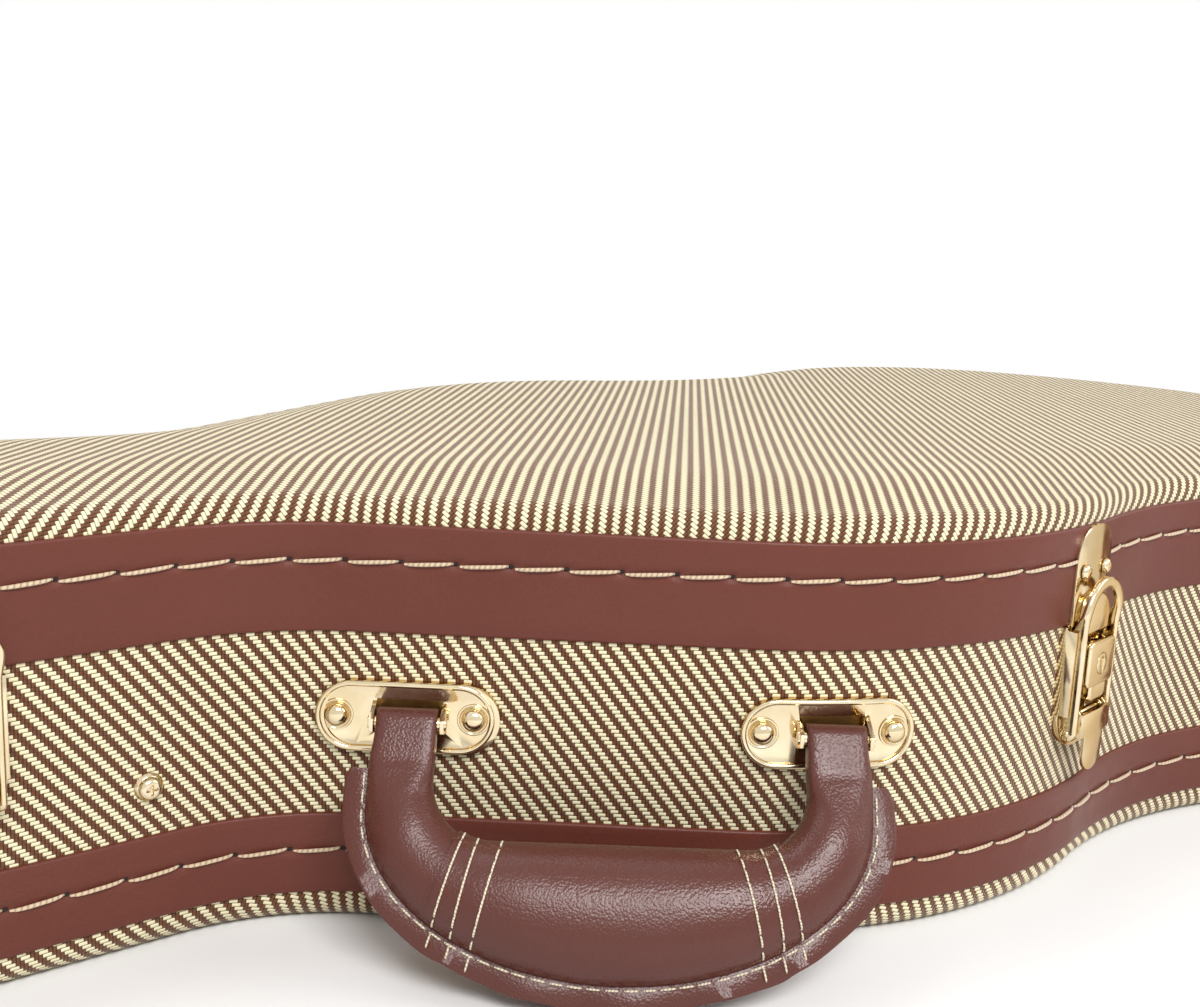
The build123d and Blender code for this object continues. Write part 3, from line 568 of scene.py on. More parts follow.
def stitch_shape(name, sides, steps, bow):
    """A thread of unit length and thickness that rises out of one hole and dips into the next."""
    verts = []
    faces = []
    uvs = []
    for i in range(steps + 1):
        share = i / steps
        lift = bow * (1 - (2 * share - 1) ** 4) - bow * 0.55
        thick = 0.5 * (0.55 + 0.45 * sin(pi * share) ** 0.4)
        for k in range(sides):
            angle = 2 * pi * k / sides
            verts.append((share - 0.5, thick * cos(angle), lift + thick * sin(angle)))
    for i in range(steps):
        u0, u1 = i / steps, (i + 1) / steps
        for k in range(sides):
            k2 = (k + 1) % sides
            v0, v1 = k / sides, (k + 1) / sides
            faces.append((i * sides + k, (i + 1) * sides + k, (i + 1) * sides + k2, i * sides + k2))
            uvs.append(((u0, v0), (u1, v0), (u1, v1), (u0, v1)))
    faces.append(tuple(range(sides - 1, -1, -1)))
    faces.append(tuple(range(steps * sides, (steps + 1) * sides)))
    uvs += [[(0.0, 0.0)] * sides, [(1.0, 0.0)] * sides]
    return new_piece(name, verts, faces, uvs)


def laying_tree(name):
    """A node tree that puts an item at each point, turned to the point's way and face."""
    tree = bpy.data.node_groups.new(name, "GeometryNodeTree")
    sockets = {}
    for title, kind in (
        ("Points", "Geometry"), ("Item", "Object"), ("Length", "Float"), ("Width", "Float"),
        ("Thickness", "Float"), ("Unevenness", "Float"), ("Finish", "Material"),
    ):
        sockets[title] = tree.interface.new_socket(
            name=title, in_out="INPUT", socket_type="NodeSocket" + kind
        )
    tree.interface.new_socket(name="Laid", in_out="OUTPUT", socket_type="NodeSocketGeometry")

    def add(kind, inputs, **settings):
        made = tree.nodes.new(kind)
        for key, value in settings.items():
            setattr(made, key, value)
        for key, value in inputs.items():
            if isinstance(value, bpy.types.NodeSocket):
                tree.links.new(value, made.inputs[key])
            else:
                made.inputs[key].default_value = value
        return made.outputs

    given = add("NodeGroupInput", {})
    item = add("GeometryNodeObjectInfo", {"Object": given["Item"]})["Geometry"]
    way = add("GeometryNodeInputNamedAttribute", {"Name": "way"}, data_type="FLOAT_VECTOR")
    face = add("GeometryNodeInputNamedAttribute", {"Name": "face"}, data_type="FLOAT_VECTOR")
    laid_along = add(
        "FunctionNodeAlignRotationToVector", {"Vector": way["Attribute"]}, axis="X", pivot_axis="AUTO"
    )
    faced = add(
        "FunctionNodeAlignRotationToVector",
        {"Rotation": laid_along["Rotation"], "Vector": face["Attribute"]}, axis="Z", pivot_axis="X",
    )
    least = add("ShaderNodeMath", {0: 1.0, 1: given["Unevenness"]}, operation="SUBTRACT")[0]
    uneven = add("FunctionNodeRandomValue", {2: least, 3: 1.0, "Seed": 7}, data_type="FLOAT")[1]
    length = add("ShaderNodeMath", {0: given["Length"], 1: uneven}, operation="MULTIPLY")[0]
    size = add("ShaderNodeCombineXYZ", {0: length, 1: given["Width"], 2: given["Thickness"]})[0]
    laid = add(
        "GeometryNodeInstanceOnPoints",
        {"Points": given["Points"], "Instance": item, "Rotation": faced["Rotation"], "Scale": size},
    )
    real = add("GeometryNodeRealizeInstances", {0: laid[0]})
    finished = add("GeometryNodeSetMaterial", {"Geometry": real[0], "Material": given["Finish"]})
    add("NodeGroupOutput", {0: finished[0]})
    return tree, sockets


laying, laying_sockets = laying_tree("lay_items_on_points")


def lay_items(name, spots, item, size, material, body, slot, unevenness=0.0):
    """One piece with the item, of this length, width and thickness, at each (place, way, face)."""
    piece = new_piece(name, [place for place, _, _ in spots], [])
    for attribute, column in (("way", 1), ("face", 2)):
        layer = piece.data.attributes.new(attribute, "FLOAT_VECTOR", "POINT")
        layer.data.foreach_set("vector", [c for spot in spots for c in spot[column]])
    modifier = modify(piece, "NODES", node_group=laying)
    values = {"Item": item, "Unevenness": unevenness, "Finish": material}
    values.update(zip(("Length", "Width", "Thickness"), size))
    for title, value in values.items():
        modifier[laying_sockets[title].identifier] = value
    applied(piece)
    item.hide_render = True
    item.hide_viewport = True
    dress(piece, material, body, slot)


band_thread = thread_finish("band_thread", (0.62, 0.47, 0.31, 1.0), twist=9.0)
thread_item = stitch_shape("thread_item", sides=6, steps=8, bow=0.9)
# Painted shade: a near-black blob sunk in each stitch's pit stands for the shadow in the hole, with a faint
# random speckle.
hole_shader = Shader("stitch_hole", roughness=0.9)
hole_shade_speckle = hole_shader.noise(hole_shader.place(), 2500.0)
hole_painted_shade = hole_shader.set(
    base_color=hole_shader.mix(hole_shade_speckle, (0.008, 0.004, 0.003, 1.0), (0.020, 0.010, 0.007, 1.0))
)
hole_mesh = bpy.data.meshes.new("hole_item")
bm = bmesh.new()
bmesh.ops.create_icosphere(bm, subdivisions=1, radius=0.5)
bm.to_mesh(hole_mesh)
bm.free()
hole_item = placed("hole_item", hole_mesh)

for title, body, up in (
    ("upper_band_stitches", "lid", upper_stitch), ("lower_band_stitches", "base", lower_stitch)
):
    threads = []
    holes = []
    for index in range(stitches):
        (start, _), (middle, face), (end, _) = (
            on_wall((index + share) * stitch_pitch, thread_out, up + rise)
            for share, rise in (thread_start, thread_middle, thread_end)
        )
        way = (end - start).normalized()
        threads.append((middle, way, face))
        hole, face = on_wall(index * stitch_pitch, hole_out, up + hole_rise)
        holes.append((hole, way, face))
    lay_items(
        title, threads, thread_item, thread_size, band_thread, body, "binding_leatherette",
        unevenness=0.06,
    )
    lay_items(title + "_holes", holes, hole_item, hole_size, hole_painted_shade, body, "binding_leatherette")


# Brass fittings. Latches, hinges, plates and screw are pressed from sheet and polished but for
# fine wear marks. Their colour is pale from straight on, and a deep gold is painted on the faces
# that turn away from the camera, a painted reflection of darker surroundings.
brass_shader = Shader("pale_brass", metallic=1.0)
brass_fog = brass_shader.noise(brass_shader.place(), 90.0, 4.0, 0.6)
brass_shader.bump(brass_fog, 0.00008, 0.5)
brass_tone = brass_shader.mix(
    brass_fog.smooth(0.3, 0.75), (0.72, 0.59, 0.37, 1.0), (0.80, 0.70, 0.50, 1.0)
)
# Painted reflection: the faces that turn away from the camera are coloured a deep gold.
painted_turned_away_reflection = brass_shader.node("ShaderNodeLayerWeight", {}, {"Blend": 0.5}, "Facing").smooth(0.25, 0.80)
pale_brass = brass_shader.set(
    base_color=brass_shader.mix(painted_turned_away_reflection, brass_tone, (0.56, 0.33, 0.070, 1.0)),
    roughness=brass_fog.smooth(0.35, 0.8).pick(0.10, 0.20),
)
pressed_edge = 0.00030


def eased_edges(piece, width, segments, degrees):
    """Rounds the piece's edges that are sharper than this."""
    limit = radians(degrees)
    modify(piece, "BEVEL", width=width, segments=segments, limit_method="ANGLE", angle_limit=limit)
    applied(piece)


def rounded_node(node, width, body, slot="pale_brass", material=pale_brass, segments=2):
    """A copy of a CAD node with its sharp edges eased, as on pressed and tumbled metal."""
    mesh = frame["nodes"][node].data.copy()
    bm = bmesh.new()
    bm.from_mesh(mesh)
    bmesh.ops.remove_doubles(bm, verts=bm.verts, dist=2e-6)
    bmesh.ops.dissolve_limit(bm, angle_limit=radians(0.8), verts=bm.verts, edges=bm.edges)
    bm.to_mesh(mesh)
    bm.free()
    if mesh.has_custom_normals:
        mesh.attributes.remove(mesh.attributes["custom_normal"])
    piece = placed("eased_" + node, mesh)
    eased_edges(piece, width, segments, degrees=32)
    piece.data.shade_smooth()
    sharpen(piece, 38)
    dress(piece, material, body, slot, node)


node_body = {}
for body, members in frame["record"]["behaviour"]["bodies"].items():
    node_body.update((member, body) for member in members)
for part in frame["record"]["subparts"]:
    node = part["node"]
    made_below = node.startswith("latch_bail") or node == "handle_rivets"
    if part["material_slot"] == "pale_brass" and not made_below:
        rounded_node(node, pressed_edge, node_body[node])


# Bails. Each is one heavy strip bent into a loop and polished round, with a boss at both feet
# that the link pin goes through. The strip is narrower but deeper in its legs than in its loop.
latch_names = ("head", "neck", "waist", "bout")
pivot_out = 0.005
pivot_below_parting = 0.030
bail_leg_across = 0.0114
bail_loop_up = 0.0025
bail_loop_radius = 0.0112
bail_turn_reach = 0.004
# Half width, distance outside the line, half depth and distance from the wall.
leg_section = (0.0010, 0.0002, 0.0023, 0.0052)
loop_section = (0.0019, 0.0007, 0.0012, 0.0068)
# Radius, start and end across the latch, and the rounding of the rim.
boss = (0.0026, 0.0104, 0.0124, 0.0004)
pin_end = (0.0011, 0.0090, 0.0129, 0.0003)


def eased(x, low, high):
    """0 below low, 1 above high and a smooth rise between."""
    x = min(max((x - low) / (high - low), 0.0), 1.0)
    return x * x * (3 - 2 * x)


def joint_named(name):
    return next(joint for joint in frame["record"]["behaviour"]["joints"] if joint["name"] == name)


def latch_frame(name):
    """A latch's parting-line point on the wall with its ways along and out, from its pivot."""
    pivot = joint_named(f"lever_{name}_swing")
    along = -Vector(pivot["axis"]).normalized()
    out = along.cross(Vector((0, 0, 1)))
    return Vector(pivot["pos_m"]) - out * pivot_out + Vector((0, 0, pivot_below_parting)), along, out


def face_out(piece):
    """Joins the piece's doubled points and turns its faces outwards."""
    bm = bmesh.new()
    bm.from_mesh(piece.data)
    bmesh.ops.remove_doubles(bm, verts=bm.verts, dist=1e-6)
    bmesh.ops.recalc_face_normals(bm, faces=bm.faces)
    bm.to_mesh(piece.data)
    bm.free()


def tube_faces(rings, around, start=0, joined=False):
    """Quads between rings of points, with a cap at both ends or the last ring joined to the first."""
    faces = []
    for i in range(rings if joined else rings - 1):
        a = start + i * around
        b = start + (i + 1) % rings * around
        for k in range(around):
            k2 = (k + 1) % around
            faces.append((a + k, a + k2, b + k2, b + k))
    if not joined:
        last = start + (rings - 1) * around
        faces += [tuple(range(start, start + around)), tuple(range(last, last + around))]
    return faces


def turned_shape(verts, faces, place, way, profile, around):
    """Adds a shape turned about the way, with a profile of (radius, height)."""
    turn = Vector((0, 0, 1)).rotation_difference(way)
    faces += tube_faces(len(profile), around, len(verts))
    for radius, height in profile:
        for k in range(around):
            angle = 2 * pi * k / around
            verts.append(place + turn @ Vector((radius * cos(angle), radius * sin(angle), height)))


def bent_bail(name):
    foot, along, out = latch_frame(name)
    link = Vector(joint_named(f"bail_{name}_swing")["pos_m"])
    link_up = (link - foot).z
    leg = [link_up + (bail_loop_up - link_up) * k / 12 for k in range(13)]
    line = [(-bail_leg_across, up, Vector((-1.0, 0.0))) for up in leg]
    for k in range(31, 0, -1):
        side = Vector((cos(pi * k / 32), sin(pi * k / 32)))
        line.append((bail_leg_across * side.x, bail_loop_up + bail_loop_radius * side.y, side))
    line += [(bail_leg_across, up, Vector((1.0, 0.0))) for up in reversed(leg)]
    around = 20
    verts = []
    for across, up, side in line:
        arch = eased(up, bail_loop_up - bail_turn_reach, bail_loop_up + bail_turn_reach)
        section = [low + (high - low) * arch for low, high in zip(leg_section, loop_section)]
        half_width, spread, half_depth, middle_out = section
        for k in range(around):
            angle = 2 * pi * k / around
            reach = spread + half_width * copysign(abs(cos(angle)) ** 0.6, cos(angle))
            depth = middle_out + half_depth * copysign(abs(sin(angle)) ** 0.6, sin(angle))
            rise = Vector((0, 0, up + side.y * reach))
            verts.append(foot + along * (across + side.x * reach) + rise + out * depth)
    faces = tube_faces(len(line), around)
    for way in (-along, along):
        for radius, start, end, ease in (boss, pin_end):
            inner = radius - ease
            profile = ((inner, start), (radius, start + ease), (radius, end - ease), (inner, end))
            turned_shape(verts, faces, link, way, profile, 24)
    piece = new_piece("bent_bail_" + name, verts, faces)
    face_out(piece)
    sharpen(piece, 50)
    dress(piece, pale_brass, "bail_" + name, "pale_brass", "latch_bail_" + name)


for name in latch_names:
    bent_bail(name)


# Fronts of the latches. The keeper's nose is capped with a dome that almost fills the bail, and
# a broad pressed face covers the housing below it, bored where the key plug sits.
nose_half = 0.0086
nose_foot = -0.0035
nose_back = 0.0016
face_half = 0.0092
face_low = -0.0204
face_high = -0.0048
face_corner = 0.0022
face_depth = 0.0020
nose_rounding = 0.0016
face_rounding = 0.0007
proud = 0.0002
plug_bore = 0.0038


def arc(across, up, radius, first, last, steps):
    """Points of a round stretch, as (across, up)."""
    turns = [first + (last - first) * k / steps for k in range(steps + 1)]
    return [(across + radius * cos(turn), up + radius * sin(turn)) for turn in turns]


def pressed_block(name, outline, back, front, latch):
    """The outline, as (across, up), filled between two distances from the wall of a latch."""
    foot, along, out = latch_frame(latch)
    verts = []
    for reach in (back, front):
        verts += [foot + along * across + Vector((0, 0, up)) + out * reach for across, up in outline]
    piece = new_piece(name, verts, tube_faces(2, len(outline)))
    face_out(piece)
    return piece


def farthest_out(node, latch):
    """How far from the wall a node of the latch reaches."""
    foot, _, out = latch_frame(latch)
    return max((v.co - foot).dot(out) for v in frame["nodes"][node].data.vertices)


def bored(piece, drill):
    """Cuts the drill out of the piece and takes the drill away."""
    face_out(drill)
    modify(piece, "BOOLEAN", operation="DIFFERENCE", object=drill)
    applied(piece)
    bpy.data.objects.remove(drill)


for name in latch_names:
    dome = arc(0.0, bail_loop_up, nose_half, 0.0, pi, 24)
    dome = [(nose_half, nose_foot)] + dome + [(-nose_half, nose_foot)]
    nose_front = farthest_out("latch_keeper_" + name, name) + proud
    cap = pressed_block("nose_cap_" + name, dome, nose_back, nose_front, name)
    eased_edges(cap, nose_rounding, segments=4, degrees=50)

    inner_half = face_half - face_corner
    corner_up = face_high - face_corner
    corner_low = face_low + face_corner
    plate = arc(inner_half, corner_up, face_corner, 0.0, pi / 2, 5)
    plate += arc(-inner_half, corner_up, face_corner, pi / 2, pi, 5)
    plate += arc(-inner_half, corner_low, face_corner, pi, 1.5 * pi, 5)
    plate += arc(inner_half, corner_low, face_corner, 1.5 * pi, 2 * pi, 5)
    face_front = farthest_out("latch_housing_" + name, name) + proud
    face = pressed_block("housing_face_" + name, plate, face_front - face_depth, face_front, name)
    eased_edges(face, face_rounding, segments=4, degrees=50)
    if name == "waist":
        low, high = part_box("lock_plug")
        plug_up = (low.z + high.z) / 2 - latch_frame(name)[0].z
        ring = arc(0.0, plug_up, plug_bore, 0.0, 2 * pi, 48)[:-1]
        drill = pressed_block("drill", ring, face_front - 2 * face_depth, face_front + face_depth, name)
        bored(face, drill)

    for piece, body in ((cap, "lid"), (face, "base")):
        piece.data.shade_smooth()
        sharpen(piece, 38)
        dress(piece, pale_brass, body, "pale_brass")


# Handle plates. Each is held by two wide rivets, whose domes stand in shallow rings pressed into
# the plate, and has a rolled rim. Through its window shows its dished back, dull, with the shade
# of the recess painted into its colour.
plate_sheet = 0.0015
plate_rivet_across = 0.0205
rivet_ring = ((0.0050, 0.0), (0.0049, 0.0004), (0.0046, 0.0005), (0.0043, 0.0004), (0.0040, 0.0001))
rivet_dome = (
    (0.0037, 0.0001), (0.0035, 0.0005), (0.0034, 0.0011), (0.0030, 0.0018), (0.0022, 0.0024),
    (0.0012, 0.0027), (0.0003, 0.0028),
)
dish_across = (-0.0115, -0.0095, 0.0, 0.0095, 0.0115)
dish_up = (-0.0070, -0.0052, 0.0, 0.0052, 0.0070)
dish_out = 0.0003
rim_radius = 0.0009
rim_out = plate_sheet + 0.0006
rim_straight = 0.016


def distance_at(x):
    """How far round the case the latch side reaches this X."""
    return min((abs(point.x - x), distance) for distance, point, _ in walls if point.y < 0)[1]


def plate_box(side):
    """How far round and how high a handle plate's middle is, and half of its height."""
    low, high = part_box("handle_plate_" + side)
    return distance_at((low.x + high.x) / 2), (low.z + high.z) / 2, (high.z - low.z) / 2


def plate_rim(side):
    """A bead round the plate: two half rounds, joined by straight stretches at top and bottom."""
    centre, middle_up, half_height = plate_box(side)
    rim_turn = half_height - rim_radius
    path = []
    for end in (1.0, -1.0):
        for k in range(25):
            normal = end * Vector((sin(pi * k / 24), -cos(pi * k / 24)))
            path.append((normal * rim_turn + Vector((end * rim_straight, 0.0)), normal))
        for k in range(1, 8):
            normal = Vector((0.0, end))
            path.append((normal * rim_turn + Vector((end * rim_straight * (1 - k / 4), 0.0)), normal))
    verts = []
    for middle, normal in path:
        for k in range(12):
            spot = middle + normal * (rim_radius * cos(pi * k / 6))
            out = rim_out + rim_radius * sin(pi * k / 6)
            verts.append(on_wall(centre + spot.x, out, middle_up + spot.y)[0])
    rim = new_piece("plate_rim_" + side, verts, tube_faces(len(path), 12, joined=True))
    face_out(rim)
    dress(rim, pale_brass, "base", "pale_brass")


verts = []
faces = []
for side in ("left", "right"):
    centre, middle_up, _ = plate_box(side)
    for step in (-plate_rivet_across, plate_rivet_across):
        place, out = on_wall(centre + step, plate_sheet, middle_up)
        turned_shape(verts, faces, place, out, rivet_ring + rivet_dome, 32)
plate_rivets = new_piece("plate_rivets", verts, faces)
face_out(plate_rivets)
sharpen(plate_rivets, 50)
dress(plate_rivets, pale_brass, "base", "pale_brass", "handle_rivets")

# Painted shade: the dish is coloured a dark amber for the shade in the recess behind the window.
dish_shade_shader = Shader("dish_brass_painted_shade", metallic=1.0)
dish_fog = dish_shade_shader.noise(dish_shade_shader.place(), 260.0, 4.0, 0.6)
dish_shade_shader.bump(dish_fog, 0.0001, 0.6)
dish_brass_painted_shade = dish_shade_shader.set(
    base_color=dish_shade_shader.mix(dish_fog, (0.30, 0.16, 0.05, 1.0), (0.52, 0.33, 0.11, 1.0)),
    roughness=dish_fog.pick(0.28, 0.42),
)
for side in ("left", "right"):
    centre, middle_up, _ = plate_box(side)
    verts = [on_wall(centre + a, dish_out, middle_up + b)[0] for b in dish_up for a in dish_across]
    faces = [(5 * r + c, 5 * r + c + 1, 5 * r + c + 6, 5 * r + c + 5) for r in range(4) for c in range(4)]
    dish = new_piece("plate_dish_" + side, verts, faces)
    dress(dish, dish_brass_painted_shade, "base", "pale_brass")
    plate_rim(side)


# Handle. A leather tube stuffed with felt follows a U from one pin to the other. Its two edges
# are sewn together round the outside, where they stand out as a flange, and a second leather is
# wrapped and sewn round the grip.
swing = joint_named("handle_swing")
handle_middle = Vector(swing["pos_m"])
handle_along = -Vector(swing["axis"]).normalized()
handle_outward = handle_along.cross(Vector((0, 0, 1)))
handle_lean = radians(33.0)
handle_down = handle_outward * sin(handle_lean) - Vector((0, 0, 1)) * cos(handle_lean)
handle_front = -handle_along.cross(handle_down)
pin_overlap = 0.0232
pins = frame["nodes"]["handle_pins"].data
pin_reaches = [(v.co - handle_middle).dot(handle_along) for v in pins.vertices]
pin_spacing = max(pin_reaches) - min(pin_reaches) - pin_overlap
pin_bore = 0.0022
arm_width = 0.018
window_half = pin_spacing / 2 - arm_width / 2
window_corner = 0.018
window_reach = 0.034
flange_half = 0.080
flange_middle = 0.025
flange_depth = 0.053
seam_inset = 0.0065
seam_half = flange_half - seam_inset
seam_depth = flange_depth - seam_inset
seam_bend = acos(0.044 / seam_half)
grip_end = 0.5
window_turn_end = 0.93
window_drop = 0.002
seam_turn_end = 0.86
seam_drop = 0.011
arm_foot = 0.014
arm_straight = 0.003
loop_top = 0.0046
loop_blend = 0.004
thinnest = 0.0002
grip_half_thickness = 0.0125
shoulder_thinner = 0.0030
arm_thinner = 0.0047
wrap_thickness = 0.0009
wrap_reach = 0.66
strap_reach = 1.3


def in_handle(s, r, t):
    """The place this far along the case, down the handle and out of its front."""
    return handle_middle + handle_along * s + handle_down * r + handle_front * t


def handle_station(u):
    """Inner edge, seam, half thickness and squareness at u: 0 mid-grip, 1 the arm's foot."""
    side = -1.0 if u < 0 else 1.0
    u = abs(u)
    if u <= grip_end:
        inner = (u / grip_end * (window_half - window_corner), window_reach)
        angle = pi / 2 + (seam_bend - pi / 2) * u / grip_end
        seam = (seam_half * cos(angle), flange_middle + seam_depth * sin(angle))
    elif u <= 1.0:
        share = (u - grip_end) / (1 - grip_end)
        turn = pi / 2 * min(share / window_turn_end, 1.0)
        drop = window_drop * max(share - window_turn_end, 0.0) / (1 - window_turn_end)
        inner = (
            window_half - window_corner * (1 - sin(turn)),
            window_reach - window_corner * (1 - cos(turn)) - drop,
        )
        turn = seam_bend * (1 - min(share / seam_turn_end, 1.0) ** 1.6)
        drop = seam_drop * max(share - seam_turn_end, 0.0) / (1 - seam_turn_end)
        seam = (seam_half * cos(turn), flange_middle + seam_depth * sin(turn) - drop)
    else:
        r = arm_foot - (arm_foot + loop_top) * (u - 1.0) / (strap_reach - 1.0)
        inner = (window_half, r)
        arm_outside = window_half + arm_width
        seam = (arm_outside + (seam_half - arm_outside) * eased(r, arm_straight, arm_foot), r)
    thick = grip_half_thickness - shoulder_thinner * eased(u, 0.3, 0.8) - arm_thinner * eased(u, 0.8, 1.06)
    if inner[1] < loop_blend:
        round_top = sqrt(max(loop_top**2 - min(inner[1], 0.0) ** 2, thinnest**2))
        thick = min(thick, round_top + (thick - loop_top) * eased(inner[1], 0.0, loop_blend))
    power = 2.1 + 5.0 * eased(u, 0.9, 1.12)
    return Vector((inner[0] * side, inner[1])), Vector((seam[0] * side, seam[1])), thick, power


def handle_skin(u, q, front, lift=0.0):
    """A point of the tube's skin, q from the inner edge 0 to the seam 1."""
    inner, seam, thick, power = handle_station(u)
    width = (seam - inner).length
    q -= lift / width * (1 - q)
    from_middle = abs(2 * min(max(q + lift / width * (1 - q), 0.0), 1.0) - 1)
    bulge = max(1.0 - from_middle**power, 0.0) ** (1 / power)
    if front < 0 and inner.y > 0:
        thick *= 1.0 - 0.30 * eased(abs(u), 0.75, 1.0)
    return in_handle(*(inner + (seam - inner) * q), front * (thick + lift) * bulge)


def handle_tube(name, reach, steps, lift):
    """The tube's skin, or one lifted off it, as far as this u on both sides."""
    shares = [(1 - cos(pi * k / 20)) / 2 for k in range(20)]
    verts = []
    for i in range(steps + 1):
        u = -reach + 2 * reach * i / steps
        verts += [handle_skin(u, q, 1.0, lift) for q in shares]
        verts += [handle_skin(u, 1 - q, -1.0, lift) for q in shares]
    piece = new_piece(name, verts, tube_faces(steps + 1, 40))
    face_out(piece)
    sharpen(piece, 60)
    return piece


handle_leather = leather(
    "handle_leather", (0.089, 0.0235, 0.0165, 1.0), pebble=0.00070, depth=0.00017, roughness=0.30,
    shine=0.38,
)
tube = handle_tube("handle_tube", strap_reach, steps=200, lift=0.0)
for side in (-1.0, 1.0):
    pin = in_handle(side * pin_spacing / 2, 0.0, 0.0)
    verts = []
    faces = []
    turned_shape(verts, faces, pin, handle_along, ((pin_bore, -0.015), (pin_bore, 0.015)), 32)
    bored(tube, new_piece("drill", verts, faces))
sharpen(tube, 60)
dress(tube, handle_leather, "handle", "handle_leather", "handle_strap", "handle_grip")

wrap = handle_tube("grip_wrap", wrap_reach, steps=120, lift=wrap_thickness)
dress(wrap, handle_leather, "handle", "handle_leather")


# Flange of the handle. The edges of the two leathers are laid together and trimmed by hand, so
# the cut edge, which is paler than the skin, waves a little along and across.
cut_edge = leather(
    "cut_edge", (0.28, 0.095, 0.070, 1.0), pebble=0.0004, depth=0.0002, roughness=0.7, shine=0.4
)
flange_half_thickness = 0.0017
flange_root = 0.0035
flange_steps = 180
flange_ring = 9


def seam_way(u):
    """The seam's place at u, with the way from the inner edge to it."""
    inner, seam, _, _ = handle_station(u)
    return seam, (seam - inner).normalized()


verts = []
for i in range(flange_steps + 1):
    u = -1.0 + 2.0 * i / flange_steps
    seam, way = seam_way(u)
    if seam.y > flange_middle:
        angle = acos(max(-1.0, min(1.0, seam.x / seam_half)))
        rim = Vector((flange_half * cos(angle), flange_middle + flange_depth * sin(angle)))
    else:
        rim = Vector((copysign(flange_half, seam.x), seam.y))
    wave = 0.0004 * sin(17 * u) + 0.0002 * sin(41 * u + 1)
    spread = 0.80 + 0.20 * eased(1.0 - abs(u), 0.0, 0.02)
    rim = seam + (rim - seam) * spread + way * wave * 0.6
    root = seam - way * flange_root
    bent_out = 0.0007 * sin(23 * u + 0.6)
    half = flange_half_thickness
    middle = root + (rim - root) * 0.45
    edge = root + (rim - root) * 0.93
    verts += [
        in_handle(*root, half * 0.6), in_handle(*middle, half + bent_out * 0.3),
        in_handle(*edge, half + bent_out), in_handle(*rim, half * 0.72 + bent_out),
        in_handle(*rim, bent_out), in_handle(*rim, -half * 0.72 + bent_out),
        in_handle(*edge, -half + bent_out), in_handle(*middle, -half + bent_out * 0.3),
        in_handle(*root, -half * 0.6),
    ]
flange = new_piece("handle_flange", verts, tube_faces(flange_steps + 1, flange_ring))
face_out(flange)
sharpen(flange, 40)
dress(flange, handle_leather, "handle", "handle_leather")
flange.data.materials.append(cut_edge)
for polygon in flange.data.polygons[:flange_ring * flange_steps]:
    from_middle = abs((polygon.center - handle_middle).dot(handle_front))
    on_edge = abs(polygon.normal.dot(handle_front)) < 0.5
    if on_edge and from_middle < flange_half_thickness + 0.0008:
        polygon.material_index = 1


# Stitching of the handle, in a finer pale thread. A seam runs along the flange, front and back,
# and three rows go across each end of the wrap and end in one stitch on the flange.
handle_thread = thread_finish("handle_thread", (0.74, 0.64, 0.46, 1.0), twist=4.0)
handle_stitch = (0.0045, 0.00065, 0.0007)
seam_pitch = 0.0052
seam_out = 0.0009
wrap_rows = (0.455, 0.56, 0.63)
wrap_end_out = 0.0030
tube_middle = in_handle(0.0, 0.05, 0.0)


def across_wrap(u, front):
    """The nine stitches of one row, from the inner edge to the seam."""
    beside_u = u + copysign(0.01, u)
    spots = []
    for k in range(9):
        q = 0.05 + 0.112 * k
        here = handle_skin(u, q, front, wrap_thickness)
        ahead = handle_skin(u, q + 0.02, front, wrap_thickness)
        beside = handle_skin(beside_u, q, front, wrap_thickness)
        way = (ahead - here).normalized()
        face = way.cross(beside - here).normalized()
        outward = handle_front * front if q > 0.2 else here - tube_middle
        if face.dot(outward) < 0:
            face = -face
        spots.append((here + face * 0.0001, way, face))
    return spots


handle_spots = []
for front in (1.0, -1.0):
    line = []
    for i in range(401):
        seam, way = seam_way(-1.0 + i / 200)
        line.append(in_handle(*(seam + way * seam_out), front * (flange_half_thickness + 0.0001)))
    gone = 0.0
    due = seam_pitch / 2
    for a, b in zip(line, line[1:]):
        gone += (b - a).length
        if gone >= due:
            handle_spots.append((b, (b - a).normalized(), handle_front * front))
            due += seam_pitch
for side in (-1.0, 1.0):
    for u in wrap_rows:
        for front in (1.0, -1.0):
            handle_spots += across_wrap(side * u, front)
            seam, way = seam_way(side * u)
            on_flange = in_handle(*(seam + way * wrap_end_out), front * (flange_half_thickness + 0.0002))
            across = handle_along * way.x + handle_down * way.y
            handle_spots.append((on_flange, across, handle_front * front))
lay_items(
    "handle_stitches", handle_spots, thread_item, handle_stitch, handle_thread, "handle",
    "handle_leather", unevenness=0.2,
)


# Plush pads. The foam is covered in a short-pile brown plush, so each pad is remeshed from its
# CAD block, blown up a little as cloth to round it, and kept close to the block. The compartment
# and the thin linings under the same plush have only their edges rounded.
plush_shader = Shader("plush", roughness=0.95, sheen_weight=0.35, sheen_roughness=0.5)
plush_place = plush_shader.place()
pile = plush_shader.noise(plush_place, 1400.0, 3.0, 0.7)
nap = plush_shader.noise(plush_place, 30.0, 3.0, 0.6)
plush_shader.bump(pile + nap * 0.5, 0.0006, 0.8)
plush = plush_shader.set(
    base_color=plush_shader.tint((0.095, 0.026, 0.019, 1.0), (pile - 0.5) * 0.6 + (nap - 0.5) * 0.5 + 1.0)
)
swell_limit = 0.0016
swell_frames = 20
lining_edge = 0.0005


def places(piece):
    """The piece's points, as one row of numbers."""
    found = np.empty(len(piece.data.vertices) * 3)
    piece.data.vertices.foreach_get("co", found)
    return found


